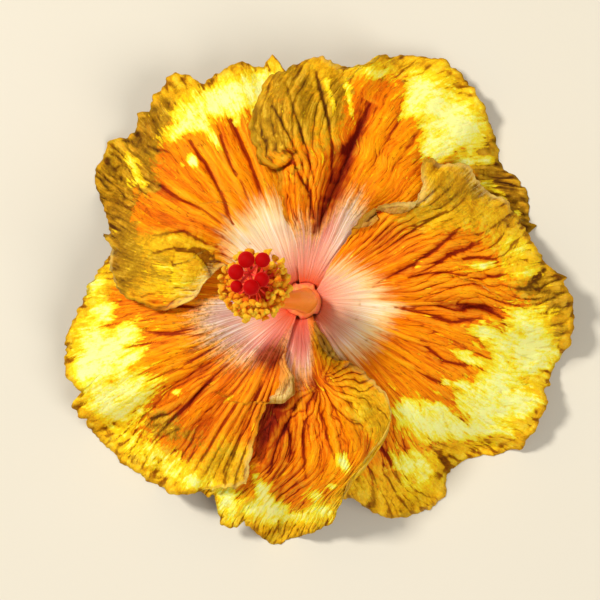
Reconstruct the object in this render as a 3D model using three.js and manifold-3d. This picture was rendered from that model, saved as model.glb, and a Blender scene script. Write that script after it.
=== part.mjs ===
// A large double-toned hibiscus bloom, picked with a short stalk and lying face up on its petal edges.
// Millimetres, +Z up. The throat is a little left of the middle of the flower's outline.
import * as THREE from "three";
import { mergeVertices } from "three/addons/utils/BufferGeometryUtils.js";
import Module from "manifold-3d";

const wasm = await Module();
wasm.setup();

// ---- Driving dimensions -------------------------------------------------------------------------
const petalThickness = 0.7;
const seatGap = 0.35; // between pieces that grow on or through each other
const clawRadius = 4.9; // radius of the ring on which the petals' claws stand
const clawFoot = 11.5; // height of the claws' feet
const petalSpread = 1.025; // the margins as measured in the photo, brought to their own distance
const columnRadius = 2.9;
const boreRadius = 1.05; // the staminal column is a tube round the style
const ruffleHeight = 4.4; // half height of the broad waves at the petal margins
const frillHeight = 1.7; // half height of the small waves at the very edge
const stalkRadius = 1.5;

// Height of the petals' common surface above the table, by distance from the throat.
const domeProfile = [
  [4.9, 11.5], [5.6, 16.5], [7.3, 22], [12, 27.3], [20, 31],
  [34, 32.8], [50, 31], [64, 26.5], [78, 19.5], [92, 11],
];
// How far a petal stands above its neighbour, where the two overlap.
const layerSpacing = [[4.9, 1.15], [10, 1.25], [20, 1.9], [40, 3.6], [60, 4.6], [92, 4.8]];

// Where the margins of the bloom sag to the table, and where they stand up, for all petals alike.
// Each is [x, y, length, width, direction, height], with its length along its direction.
const sags = [
  [-72, 38, 24, 24, 60, -20],
  [-62, -54, 28, 25, 130, -22],
  [-8, -84, 24, 22, 0, -15],
  [56, -66, 30, 26, 45, -23.5],
  [76, 46, 28, 25, 115, -20],
  [-28, 78, 26, 16, 20, 2.5],
  [88, -8, 24, 18, 90, -2.5],
];

const turn = 360;
const layerTurn = turn / 5; // angle from one petal to the next
const radians = THREE.MathUtils.degToRad;

// A smooth function through [x, y] points that doesn't overshoot them.
function through(points) {
  const slopes = points.slice(1).map(([x, y], i) => (y - points[i][1]) / (x - points[i][0]));
  const tangents = points.map((_, i) => {
    const before = slopes[Math.max(i - 1, 0)];
    const after = slopes[Math.min(i, slopes.length - 1)];
    return before * after > 0 ? (2 * before * after) / (before + after) : 0;
  });
  return (x) => {
    const last = points.length - 2;
    let i = 0;
    while (i < last && x > points[i + 1][0]) i += 1;
    const span = points[i + 1][0] - points[i][0];
    const t = (x - points[i][0]) / span;
    if (t <= 0) return points[i][1] + t * span * slopes[i];
    if (t >= 1) return points[i + 1][1] + (t - 1) * span * slopes[i];
    const [a, b] = [points[i][1], points[i + 1][1]];
    const [m, n] = [tangents[i] * span, tangents[i + 1] * span];
    return a + t * (m + t * (3 * (b - a) - 2 * m - n + t * (2 * (a - b) + m + n)));
  };
}

const domeHeight = through(domeProfile);
const spacing = through(layerSpacing);

// The common surface at a radius and angle, moved along its normal near the steep throat and
// straight up further out, so that the petals keep their outline as seen from above.
function onDome(radius, angle, offset) {
  const step = 0.05;
  const slope = (domeHeight(radius + step) - domeHeight(radius - step)) / (2 * step);
  const lean = slope * (1 - THREE.MathUtils.smoothstep(radius, 12, 20));
  const length = Math.hypot(lean, 1);
  const out = radius - (offset * lean) / length;
  const turned = radians(angle);
  const height = domeHeight(radius) + offset / length;
  return new THREE.Vector3(out * Math.cos(turned), out * Math.sin(turned), height);
}

// ---- Petals -------------------------------------------------------------------------------------
// Angles are in degrees from the right, counter-clockwise. Every petal's counter-clockwise edge lies
// over the next petal. Each side is the edge's angle by distance from the throat, and the margin is
// the distance by angle. Mounds are [x, y, length, width, direction, height] swellings and hollows.
const petals = [
  {
    name: "petal_upper_left",
    claw: 137,
    across: 32,
    lowSide: [[4.9, 98], [8, 94], [17, 85], [30, 84], [50, 85], [66, 89]],
    highSide: [
      [4.9, 175], [8, 169], [17, 158], [27, 152], [31, 162], [34, 176], [43, 183.5], [54, 179.6], [59, 176],
    ],
    margin: [
      [89, 66], [93, 72], [98, 82], [101, 79.5], [105, 82.5], [115, 79], [120, 85.5], [127, 81],
      [137, 79], [141, 83], [150, 79.5], [156, 71], [161, 66.5], [172, 62], [176, 59],
    ],
    mounds: [
      [-46, 12, 16, 11, 15, 4.5],
      [-32, 17.5, 12, 3.5, 0, -2.2],
      [-19, 47, 18, 2.6, 112, -1.6],
      [-29, 42, 14, 2.6, 140, -1.4],
      [-31, 27, 18, 3, 155, 1.6],
    ],
  },
  {
    name: "petal_top",
    claw: 65,
    across: 32,
    lowSide: [[4.9, 26], [8, 30], [17, 34], [31, 30], [49, 22], [74, 6]],
    highSide: [
      [4.9, 103], [8, 100], [17, 97], [27, 102], [36, 101], [41, 99.5], [46, 106.5], [55.6, 106.4],
      [65, 102], [72, 98], [75, 93],
    ],
    margin: [
      [6, 74], [18, 79], [24, 82.5], [33, 80], [40, 84.5], [49, 89.5], [57, 92], [64, 89.5],
      [71, 83], [76, 80], [82, 82.5], [89, 77.5], [93, 75],
    ],
    mounds: [
      [-3, 57, 24, 11, 100, 6],
      [13, 45, 26, 4.5, 72, -4],
      [29, 58, 22, 7, 62, 1.8],
      [58, 40, 14, 8, 40, -1.8],
    ],
  },
  {
    name: "petal_right",
    claw: -7,
    across: 40,
    lowSide: [[4.9, -45], [8, -62], [12, -74], [17, -80], [30, -86], [45, -90], [64, -91]],
    highSide: [
      [4.9, 32], [8, 42], [12, 50], [17, 54], [31, 54], [37, 50], [47, 40.5], [52, 43], [56, 47.5],
      [59.5, 49],
    ],
    margin: [
      [-91, 64], [-77, 66], [-71, 74], [-65, 79.5], [-55, 81], [-50, 74.5], [-44, 76], [-37, 84],
      [-30, 88], [-23, 87], [-20, 84.5], [-16, 86], [-5, 89], [1, 87.5], [10, 79], [17, 77],
      [26, 74], [32, 69.5], [39, 69], [44, 63], [49, 59.5],
    ],
    mounds: [
      [28, 27, 13, 3, 18, 2.6],
      [30, 4, 22, 3, 3, 1.5],
      [32, -11, 22, 3, -25, 1.5],
      [48, -3, 18, 4, 0, -2],
      [33, 18, 18, 3, 40, -1.6],
      [46, 27, 18, 5, 38, 2],
      [34, -50, 22, 7, -55, 2.2],
    ],
  },
  {
    name: "petal_bottom",
    claw: -79,
    across: 20,
    lowSide: [[4.9, -115], [6, -126], [12, -122], [17, -124], [50, -124], [70, -124]],
    highSide: [
      [4.9, -45], [6, -58], [10, -74], [14, -73], [19, -65], [25, -54], [30, -50], [40, -49], [45, -52],
      [52, -65], [56, -72], [61, -76.5], [67, -79.6],
    ],
    margin: [
      [-124, 70], [-114, 72], [-108, 79], [-104, 77], [-97, 82], [-91, 78], [-83, 74], [-79.6, 67],
    ],
    mounds: [
      [15, -35, 14, 10, -60, 4.2],
      [3, -30, 16, 3.2, -82, -2.4],
      [8, -56, 12, 6, -75, 2],
      [-10, -62, 14, 5, -105, -2],
    ],
  },
  {
    name: "petal_lower_left",
    claw: 209,
    across: 28,
    lowSide: [[4.9, 168], [8, 158], [17, 146], [27, 139], [40, 142], [50, 150], [62.5, 159]],
    highSide: [
      [4.9, 246], [8, 248], [14, 250], [19, 250], [23, 258], [27, 261], [31, 255], [34, 250], [51, 251],
      [62, 253],
    ],
    margin: [
      [159, 62.5], [169, 65.5], [181, 72], [189, 78], [196, 81.5], [203, 79], [206, 83.5], [214, 82],
      [227, 79.5], [237, 76], [243, 69], [253, 62],
    ],
    mounds: [
      [-8, -25, 6, 4, 60, 2.6],
      [-50, -12, 22, 8, 195, 1.6],
      [-33, -22, 22, 4, 213, -2],
      [-22, -38, 24, 3.5, 240, 1.8],
      [-16, -40, 20, 2.4, 247, -1.4],
    ],
  },
];

// Broad ruffles and fine ribs, the same for every petal so that the layers nest where they overlap.
function ripple(radius, angle) {
  const a = radians(angle);
  const broad = THREE.MathUtils.clamp((radius - 24) / 56, 0, 1.1) ** 1.7 * ruffleHeight;
  const waves = 0.6 * Math.sin(9 * a + 0.6) + 0.4 * Math.sin(14 * a + 2.1) + 0.25 * Math.sin(22 * a + 4);
  const ribs = 0.55 * THREE.MathUtils.smoothstep(radius, 6, 45) * Math.sin(30 * a + 3 * Math.sin(5 * a));
  return broad * waves + ribs;
}

// The height at a place of swellings and hollows, each long and narrow along its direction.
function moundHeight(mounds, x, y) {
  return mounds.reduce((sum, [middleX, middleY, length, width, direction, height]) => {
    const [c, s] = [Math.cos(radians(direction)), Math.sin(radians(direction))];
    const along = ((x - middleX) * c + (y - middleY) * s) / length;
    const aside = ((y - middleY) * c - (x - middleX) * s) / width;
    return sum + height * Math.exp(-(along * along + aside * aside));
  }, 0);
}

// A point of a petal's middle surface: share runs from its low side to its high side, and reach from
// its claw to its margin.
function petalPoint(petal, share, reach) {
  const [low, high, margin] = petal.curves;
  const [start, end] = [petal.margin[0], petal.margin.at(-1)];
  const edgeRadius = margin(THREE.MathUtils.lerp(start[0], end[0], share)) * petalSpread;
  const radius = THREE.MathUtils.lerp(clawRadius, edgeRadius, reach);
  const lowAngle = low(THREE.MathUtils.lerp(clawRadius, start[1], reach));
  const highAngle = high(THREE.MathUtils.lerp(clawRadius, end[1], reach));
  const angle = THREE.MathUtils.lerp(lowAngle, highAngle, share);
  const layer = (spacing(radius) * (angle - petal.claw)) / layerTurn;
  const [x, y] = [radius * Math.cos(radians(angle)), radius * Math.sin(radians(angle))];
  const fromEdge = (1 - reach) * (edgeRadius - clawRadius);
  const frill = frillHeight * Math.exp(-fromEdge / 8) * Math.sin(radians(angle * 30 + petal.claw));
  const swell = moundHeight(sags, x, y) + moundHeight(petal.mounds, x, y);
  const offset = layer + ripple(radius, angle) + swell + frill;
  return onDome(radius, angle, offset);
}

// Triangles between two rows of points that need not have the same number of them.
function stitch(lower, upper, triangles) {
  let [i, j] = [0, 0];
  while (i < lower.length - 1 || j < upper.length - 1) {
    const lowerNext = (i + 1) / (lower.length - 1);
    const upperNext = (j + 1) / (upper.length - 1);
    if (lowerNext <= upperNext) {
      triangles.push(lower[i], upper[j], lower[i + 1]);
      i += 1;
    } else {
      triangles.push(lower[i], upper[j], upper[j + 1]);
      j += 1;
    }
  }
}

// A sheet of one thickness about its rows of middle points. Both faces have the same triangles. What
// would reach below the table lies flat on it.
function sheetGeometry(rows, thickness, closed = false) {
  const middle = [];
  const numbered = rows.map((row) => {
    const numbers = row.map((point) => middle.push(point) - 1);
    return closed ? [...numbers, numbers[0]] : numbers;
  });
  const triangles = [];
  numbered.slice(1).forEach((row, i) => stitch(numbered[i], row, triangles));
  const surface = new THREE.BufferGeometry().setFromPoints(middle).setIndex(triangles);
  surface.computeVertexNormals();
  const normals = surface.getAttribute("normal");
  const [back, front] = [[], []];
  middle.forEach((point, i) => {
    const half = new THREE.Vector3().fromBufferAttribute(normals, i).multiplyScalar(thickness / 2);
    const lift = Math.max(0, -(point.z - Math.abs(half.z)));
    [[back, -1], [front, 1]].forEach(([face, way]) => {
      const moved = point.clone().addScaledVector(half, way);
      moved.z = Math.max(moved.z + lift, 0);
      face.push(moved);
    });
  });
  const count = middle.length;
  const faces = [];
  for (let i = 0; i < triangles.length; i += 3) {
    const [a, b, c] = triangles.slice(i, i + 3);
    faces.push(a, c, b, a + count, b + count, c + count);
  }
  const edge = (line) => line.slice(1).forEach((b, i) => {
    const a = line[i];
    faces.push(a, b, b + count, a, b + count, a + count);
  });
  edge([...numbered[0]].reverse());
  edge(numbered.at(-1));
  if (!closed) {
    edge(numbered.map((row) => row[0]));
    edge(numbered.map((row) => row.at(-1)).reverse());
  }
  return new THREE.BufferGeometry().setFromPoints([...back, ...front]).setIndex(faces);
}

// Rows lie closer together on the steep throat, and have fewer points there.
function petalGeometry(petal) {
  petal.curves = [petal.lowSide, petal.highSide, petal.margin].map(through);
  const rowCount = 17;
  const bend = 0.4;
  const rows = Array.from({ length: rowCount + 1 }, (_, row) => {
    const t = row / rowCount;
    const reach = (t < bend ? (t * t) / (2 * bend) : t - bend / 2) / (1 - bend / 2);
    const points = petal.across / (row < 4 ? 4 : row < 7 ? 2 : 1);
    return Array.from({ length: points + 1 }, (_, i) => petalPoint(petal, i / points, reach));
  });
  return sheetGeometry(rows, petalThickness);
}

// ---- Solids along a curve -----------------------------------------------------------------------
// A closed round solid along a curve, with its radius given by the share of the way along.
function taperedRod(curve, radiusAt, sides, steps) {
  const frames = curve.computeFrenetFrames(steps, false);
  const points = [];
  for (let step = 0; step <= steps; step += 1) {
    const centre = curve.getPointAt(step / steps);
    for (let side = 0; side < sides; side += 1) {
      const a = (side / sides) * Math.PI * 2;
      const radius = radiusAt(step / steps);
      points.push(
        centre.clone()
          .addScaledVector(frames.normals[step], Math.cos(a) * radius)
          .addScaledVector(frames.binormals[step], Math.sin(a) * radius),
      );
    }
  }
  const faces = [];
  for (let step = 0; step < steps; step += 1) {
    for (let side = 0; side < sides; side += 1) {
      const next = (side + 1) % sides;
      const [a, b] = [step * sides + side, step * sides + next];
      faces.push(a, b, b + sides, a, b + sides, a + sides);
    }
  }
  const first = points.push(curve.getPointAt(0)) - 1;
  const last = points.push(curve.getPointAt(1)) - 1;
  for (let side = 0; side < sides; side += 1) {
    const next = (side + 1) % sides;
    faces.push(first, next, side, last, steps * sides + side, steps * sides + next);
  }
  return new THREE.BufferGeometry().setFromPoints(points).setIndex(faces);
}

function toSolid(geometry) {
  const bare = geometry.clone();
  bare.deleteAttribute("normal");
  bare.deleteAttribute("uv");
  const merged = mergeVertices(bare, 1e-4);
  return new wasm.Manifold(new wasm.Mesh({
    numProp: 3,
    vertProperties: new Float32Array(merged.getAttribute("position").array),
    triVerts: new Uint32Array(merged.getIndex().array),
  }));
}

function toGeometry(solid) {
  const mesh = solid.getMesh();
  const geometry = new THREE.BufferGeometry();
  geometry.setAttribute("position", new THREE.BufferAttribute(new Float32Array(mesh.vertProperties), 3));
  geometry.setIndex(new THREE.BufferAttribute(new Uint32Array(mesh.triVerts), 1));
  return geometry;
}

const joined = (solids) => solids.reduce((sum, solid) => sum.add(solid));
const vector = (x, y, z) => new THREE.Vector3(x, y, z);

// ---- Staminal column, stamens and pistil --------------------------------------------------------
// The column rises through the throat and leans to the upper left. The style runs inside it.
const columnTop = 70;
const columnPath = new THREE.CatmullRomCurve3([
  vector(0, 0, clawFoot), vector(0.2, 0, 22), vector(0.3, 0, 32), vector(-2.4, 0, 42),
  vector(-7.8, 0.3, 51), vector(-12.6, 2.2, 60.5), vector(-15.8, 5.6, columnTop),
]);

// Seeded random numbers from 0 to 1.
function randomFrom(seed) {
  let state = seed;
  return () => {
    state = (state * 1664525 + 1013904223) % 4294967296;
    return state / 4294967296;
  };
}

// A point beside a curve, at an angle round it and a distance from it.
function beside(curve, share, angle, distance, ahead) {
  const tangent = curve.getTangentAt(share);
  const right = new THREE.Vector3(0, 1, 0).cross(tangent).normalize();
  const up = tangent.clone().cross(right);
  return curve.getPointAt(share)
    .addScaledVector(right, Math.cos(angle) * distance)
    .addScaledVector(up, Math.sin(angle) * distance)
    .addScaledVector(tangent, ahead);
}

function stamenSolids() {
  const count = 52;
  const [firstShare, lastShare] = [0.68, 0.98];
  const goldenTurn = Math.PI * (3 - Math.sqrt(5));
  const random = randomFrom(7);
  return Array.from({ length: count }, (_, i) => {
    const share = THREE.MathUtils.lerp(firstShare, lastShare, i / (count - 1));
    const angle = i * goldenTurn + 0.5 * (random() - 0.5);
    const reach = 5.5 + 4.5 * random();
    const root = beside(columnPath, share, angle, 1.6, 0);
    const tip = beside(columnPath, share, angle, reach, 1.2 + 1.8 * random());
    const filament = taperedRod(new THREE.LineCurve3(root, tip), () => 0.32, 3, 1);
    const anther = new THREE.IcosahedronGeometry(1, 0);
    anther.scale(1.5, 1.1, 1);
    anther.rotateZ(random() * Math.PI * 2);
    anther.rotateX(random() * Math.PI * 2);
    anther.translate(tip.x, tip.y, tip.z);
    return toSolid(filament).add(toSolid(anther));
  });
}

function columnGeometry() {
  const radius = through([
    [0, columnRadius], [0.15, columnRadius + 0.1], [0.33, columnRadius + 0.5],
    [0.5, 3], [0.75, 2.3], [1, 1.9],
  ]);
  const ovaryRadius = 2.3;
  const bore = through([[0, ovaryRadius], [0.1, ovaryRadius - 0.1], [0.2, boreRadius], [1, boreRadius]]);
  const outside = toSolid(taperedRod(columnPath, radius, 12, 16));
  // The bore goes on past both ends of the column, so that it opens there.
  const opening = (share, way, size) => {
    const end = columnPath.getPointAt(share);
    const tangent = columnPath.getTangentAt(share).multiplyScalar(way);
    const line = [end.clone().addScaledVector(tangent, -0.5), end.clone().addScaledVector(tangent, 1)];
    return toSolid(taperedRod(new THREE.LineCurve3(...line), () => size, 8, 1));
  };
  const inside = joined([
    toSolid(taperedRod(columnPath, bore, 8, 16)),
    opening(0, -1, ovaryRadius),
    opening(1, 1, boreRadius),
  ]);
  return toGeometry(joined([outside, ...stamenSolids()]).subtract(inside));
}

// Ovary, style and the spreading branches, each ending in a flat round velvety pad.
// Pads are [x, y, height, radius].
const pads = [
  [-17.6, 12.4, 79.2, 2.45],
  [-12.6, 12.3, 78.8, 2.2],
  [-20.7, 8.6, 78.8, 2.3],
  [-20.8, 4.1, 77.6, 1.7],
  [-16.0, 4.0, 79.6, 2.35],
  [-12.7, 6.3, 78.2, 2.15],
];

function pistilGeometry() {
  const styleRadius = boreRadius - seatGap - 0.1;
  const swelling = through([[0, 1.9], [0.07, 1.7], [0.16, styleRadius], [1, styleRadius]]);
  const fork = vector(-16.5, 8.4, 74.6);
  const stylePath = new THREE.CatmullRomCurve3([...columnPath.getPoints(12), fork]);
  const style = toSolid(taperedRod(stylePath, swelling, 7, 14));
  const branches = pads.map(([x, y, z, radius]) => {
    const foot = fork.clone().addScaledVector(vector(0, 0, 1), -0.3);
    const knee = vector((x + 2 * fork.x) / 3, (y + 2 * fork.y) / 3, fork.z + 1.6);
    const branch = taperedRod(new THREE.CatmullRomCurve3([foot, knee, vector(x, y, z)]), () => 0.5, 4, 3);
    const pad = new THREE.SphereGeometry(radius, 9, 6);
    pad.rotateX(Math.PI / 2);
    pad.scale(1, 1, 0.62);
    pad.translate(x, y, z);
    return toSolid(branch).add(toSolid(pad));
  });
  return toGeometry(joined([style, ...branches]));
}

// ---- Green parts under the petals ---------------------------------------------------------------
// The calyx is a cup that hugs the claws, with five pointed lobes against the petals' undersides.
function calyxGeometry() {
  const underPetals = -2; // from the petals' common surface to the calyx wall's middle
  const lobeRadius = 17;
  const notchRadius = 8.2;
  const columns = 25;
  const floor = [[2.5, clawFoot - 3.7], [4.4, clawFoot - 3.4], [6.1, clawFoot - 2.4]];
  const wallRows = 5;
  const ring = (pointAt) => Array.from({ length: columns }, (_, i) => pointAt((i / columns) * turn));
  const rows = floor.map(([radius, height]) => ring((angle) => {
    const a = radians(angle);
    return vector(radius * Math.cos(a), radius * Math.sin(a), height);
  }));
  for (let row = 0; row <= wallRows; row += 1) {
    rows.push(ring((angle) => {
      const lobe = Math.abs(((angle + 8) / layerTurn) % 1 - 0.5) * 2;
      const tip = THREE.MathUtils.lerp(lobeRadius, notchRadius, lobe ** 1.3);
      const radius = THREE.MathUtils.lerp(clawRadius + 0.15, tip, (row / wallRows) ** 1.8);
      return onDome(radius, angle, underPetals);
    }));
  }
  return sheetGeometry(rows, 0.8, true);
}

// The epicalyx is a whorl of seven narrow bractlets on a collar round the stalk.
function epicalyxGeometry() {
  const bractCount = 7;
  const collarHeight = clawFoot - 5;
  const holeRadius = stalkRadius + seatGap;
  const section = [[holeRadius, -0.6], [3.1, -0.45], [3.1, 0.45], [holeRadius, 0.6], [holeRadius, -0.6]];
  const collar = new THREE.LatheGeometry(section.map(([r, z]) => new THREE.Vector2(r, z)), 20);
  collar.rotateX(Math.PI / 2);
  collar.scale(1, 1, -1);
  collar.translate(0, 0, collarHeight);
  collar.index.array.reverse();
  const width = through([[0, 0.9], [0.35, 1.3], [1, 0.3]]);
  const bracts = Array.from({ length: bractCount }, (_, i) => {
    const across = 2;
    const along = 5;
    const angle = radians((i / bractCount) * turn + 11);
    const rows = Array.from({ length: along + 1 }, (_, row) => {
      const t = row / along;
      const radius = 2.5 + 10.5 * t - 1.5 * t * t;
      const height = collarHeight + 0.4 * t + 7 * t ** 2.2;
      return Array.from({ length: across + 1 }, (_, column) => {
        const side = ((column / across) * 2 - 1) * width(t);
        const [c, s] = [Math.cos(angle), Math.sin(angle)];
        return vector(radius * c - side * s, radius * s + side * c, height + 0.25 * side * side);
      });
    });
    return toSolid(sheetGeometry(rows, 0.8));
  });
  return toGeometry(joined([toSolid(collar), ...bracts]));
}

// The stalk ends in the receptacle, which carries the calyx, petals and column. It bends over just
// below the bloom and lies clear of the table.
function stalkGeometry() {
  const top = clawFoot - seatGap;
  const head = new THREE.LatheGeometry(
    [[0, top - 3.2], [1.3, top - 3.2], [1.5, top - 2.4], [4.9, top - 1.3], [4.9, top], [0, top]]
      .map(([r, z]) => new THREE.Vector2(r, z)),
    20,
  );
  head.rotateX(Math.PI / 2);
  const stem = new THREE.CatmullRomCurve3([
    vector(0, 0, top - 2), vector(0, 0, top - 4.5), vector(0.5, -0.9, 4.4), vector(3, -5.2, 2.5),
    vector(6.2, -10.6, 2.3), vector(9, -15.6, 2.6),
  ]);
  const joint = through([
    [0, stalkRadius], [0.5, stalkRadius], [0.6, 1.75], [0.66, 1.35], [1, stalkRadius - 0.1],
  ]);
  const rod = taperedRod(stem, joint, 10, 14);
  return toGeometry(toSolid(head).add(toSolid(rod)));
}

// ---- Assembly -----------------------------------------------------------------------------------
const flower = new THREE.Group();

function addPiece(name, geometry, color, roughness) {
  const material = new THREE.MeshStandardMaterial({ color, roughness, metalness: 0 });
  const mesh = new THREE.Mesh(geometry, material);
  mesh.name = name;
  flower.add(mesh);
}

petals.forEach((petal) => addPiece(petal.name, petalGeometry(petal), "#f08a0a", 0.6));
addPiece("staminal_column", columnGeometry(), "#f5862a", 0.55);
addPiece("pistil", pistilGeometry(), "#b00812", 0.75);
addPiece("calyx", calyxGeometry(), "#7d9a45", 0.65);
addPiece("epicalyx", epicalyxGeometry(), "#6f8f3c", 0.65);
addPiece("stalk", stalkGeometry(), "#78904a", 0.65);

// The origin is under the middle of the bloom, on the table.
const middle = new THREE.Box3().setFromObject(flower).getCenter(new THREE.Vector3());
flower.children.forEach((piece) => piece.position.set(-middle.x, -middle.y, 0));

export default flower;
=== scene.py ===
import math
import bmesh
import bpy
import numpy as np
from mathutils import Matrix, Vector


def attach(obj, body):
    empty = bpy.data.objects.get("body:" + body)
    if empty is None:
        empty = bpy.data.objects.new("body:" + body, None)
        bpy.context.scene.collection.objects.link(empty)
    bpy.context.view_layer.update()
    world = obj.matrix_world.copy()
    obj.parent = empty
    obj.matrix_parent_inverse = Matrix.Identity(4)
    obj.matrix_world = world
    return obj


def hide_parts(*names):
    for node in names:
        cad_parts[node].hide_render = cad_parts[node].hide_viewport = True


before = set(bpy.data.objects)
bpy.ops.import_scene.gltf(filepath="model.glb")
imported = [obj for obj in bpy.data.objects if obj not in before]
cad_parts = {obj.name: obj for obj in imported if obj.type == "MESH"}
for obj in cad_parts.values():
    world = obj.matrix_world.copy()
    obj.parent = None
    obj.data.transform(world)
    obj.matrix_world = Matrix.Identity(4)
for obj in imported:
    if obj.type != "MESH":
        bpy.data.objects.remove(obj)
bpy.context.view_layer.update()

# ---- Table, lamp and camera ---------------------------------------------------------------------
# The picked bloom lies face up on a plain cream table and is seen from straight above. A soft lamp
# to the upper left throws the folds' shadows to the lower right, and a broad fainter one across
# from it fills them a little.
throat = Vector((-0.005296, -0.0000994, 0))  # on the table, under the bloom's throat
camera_height = 0.77
table_reach = 6
scene = bpy.context.scene
scene.view_settings.view_transform = "Standard"


def lamp(name, towards, distance, size, strength, colour):
    """A round lamp in metres from the throat, towards an azimuth and a height in degrees."""
    light = bpy.data.lights.new(name, "AREA")
    light.shape = "DISK"
    light.size = size
    light.energy = strength * math.pi * distance**2
    light.color = colour
    stand = bpy.data.objects.new(name, light)
    azimuth, height = (math.radians(angle) for angle in towards)
    way = Vector(
        (math.cos(azimuth) * math.cos(height), math.sin(azimuth) * math.cos(height), math.sin(height))
    )
    stand.location = throat + distance * way
    stand.rotation_euler = way.to_track_quat("Z", "Y").to_euler()
    scene.collection.objects.link(stand)


lamp("key_lamp", towards=(147, 46), distance=2.2, size=0.42, strength=3.0, colour=(1.0, 0.985, 0.95))
lamp("fill_lamp", towards=(-35, 50), distance=2.2, size=1.8, strength=1.8, colour=(1.0, 0.98, 0.95))
sky = bpy.data.worlds.new("room_light")
sky.use_nodes = True
sky.node_tree.nodes["Background"].inputs["Color"].default_value = (1.0, 0.98, 0.95, 1)
sky.node_tree.nodes["Background"].inputs["Strength"].default_value = 0.3
scene.world = sky

lens = bpy.data.cameras.new("camera_above")
lens.lens = 135
lens.sensor_width = 36
camera = bpy.data.objects.new("camera_above", lens)
camera.location = throat + Vector((-0.001, 0, camera_height))
scene.collection.objects.link(camera)
scene.camera = camera


def colour(code):
    """A colour from its usual six-digit code."""
    steps = [int(code[i : i + 2], 16) / 255 for i in (0, 2, 4)]
    return (*[s / 12.92 if s < 0.04045 else ((s + 0.055) / 1.055) ** 2.4 for s in steps], 1)


class Amount:
    """What one point of a surface has of something; sums written on it become part of the finish."""

    def __init__(self, finish, socket):
        self.finish, self.socket = finish, socket

    def sum(self, operation, *values):
        return self.finish.node("Math", {"operation": operation}, values)

    def __add__(self, other):
        return self.sum("ADD", self, other)

    def __sub__(self, other):
        return self.sum("SUBTRACT", self, other)

    def __rsub__(self, other):
        return self.sum("SUBTRACT", other, self)

    def __mul__(self, other):
        return self.sum("MULTIPLY", self, other)

    def __truediv__(self, other):
        return self.sum("DIVIDE", self, other)

    def __abs__(self):
        return self.sum("ABSOLUTE", self)

    def wave(self):
        return self.sum("SINE", self)

    __radd__, __rmul__ = __add__, __mul__

    def between(self, low, high):
        """0 where this is low, 1 where it is high, and smooth in between."""
        ends = {"Value": self, "From Min": low, "From Max": high}
        return self.finish.node("MapRange", {"interpolation_type": "SMOOTHSTEP"}, ends)


class Finish:
    """The finish of one kind of surface, put together from what changes over it."""

    def __init__(self, name, roughness, **constants):
        self.material = bpy.data.materials.new(name)
        self.material.use_nodes = True
        self.tree = self.material.node_tree
        self.shader = self.tree.nodes["Principled BSDF"]
        self.shader.inputs["Roughness"].default_value = roughness
        for socket, value in constants.items():
            self.shader.inputs[socket.replace("_", " ")].default_value = value

    def node(self, kind, settings=None, sockets=(), output=0):
        """Any node, from its kind, its settings and the values or links of its sockets."""
        node = self.tree.nodes.new("ShaderNode" + kind)
        for name, value in (settings or {}).items():
            if name != "stops":
                setattr(node, name, value)
                continue
            stops = node.color_ramp.elements
            while len(stops) < len(value):
                stops.new(0.5)
            for stop, (place, tint) in zip(stops, value):
                stop.position, stop.color = place, colour(tint)
        pairs = sockets.items() if isinstance(sockets, dict) else enumerate(sockets)
        for socket, value in pairs:
            self.join(node.inputs[socket], value)
        return Amount(self, node.outputs[output])

    def join(self, socket, value):
        if isinstance(value, Amount):
            self.tree.links.new(value.socket, socket)
        else:
            socket.default_value = colour(value) if isinstance(value, str) else value

    def mark(self, name):
        """A number that the mesh carries at each of its points."""
        return self.node("Attribute", {"attribute_name": name}, output="Fac")

    def place(self):
        """Where a point lies on the piece, in metres."""
        return self.node("TexCoord", output="Object")

    def stretch(self, where, x, y, z):
        return self.node("VectorMath", {"operation": "MULTIPLY"}, (where, (x, y, z)))

    def noise(self, where, scale=1.0, detail=3.0, roughness=0.55, distortion=0.0):
        sockets = {"Vector": where, "Scale": scale, "Detail": detail, "Roughness": roughness}
        return self.node("TexNoise", {}, {**sockets, "Distortion": distortion})

    def mix(self, share, first, second, blend="MIX"):
        """Two colours mixed, each a link or a six-digit code."""
        settings = {"data_type": "RGBA", "blend_type": blend}
        return self.node("Mix", settings, {0: share, 6: first, 7: second}, output=2)

    def ramp(self, value, *stops):
        return self.node("ValToRGB", {"stops": stops}, [value])

    def coat(self, tint, relief, depth, roughness=None):
        """The finished material, with its relief raised by a depth in metres."""
        self.join(self.shader.inputs["Base Color"], tint)
        if roughness is not None:
            self.join(self.shader.inputs["Roughness"], roughness)
        sockets = {"Height": relief, "Distance": depth, "Strength": 1.0}
        self.join(self.shader.inputs["Normal"], self.node("Bump", {}, sockets))
        return self.material


def table_finish():
    finish = Finish("cream_table", 0.75)
    cloudy = finish.noise(finish.place(), 6, 2)
    tint = finish.mix(cloudy, "D3CBB8", "D8D0BF")
    return finish.coat(tint, relief=finish.noise(finish.place(), 900, 2), depth=0.00001)


table = bpy.data.meshes.new("table_top")
corners = [(table_reach * x, table_reach * y, 0) for x, y in ((-1, -1), (1, -1), (1, 1), (-1, 1))]
table.from_pydata(corners, [], [(0, 1, 2, 3)])
table.materials.append(table_finish())
table_top = bpy.data.objects.new("table_top", table)
scene.collection.objects.link(table_top)

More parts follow.
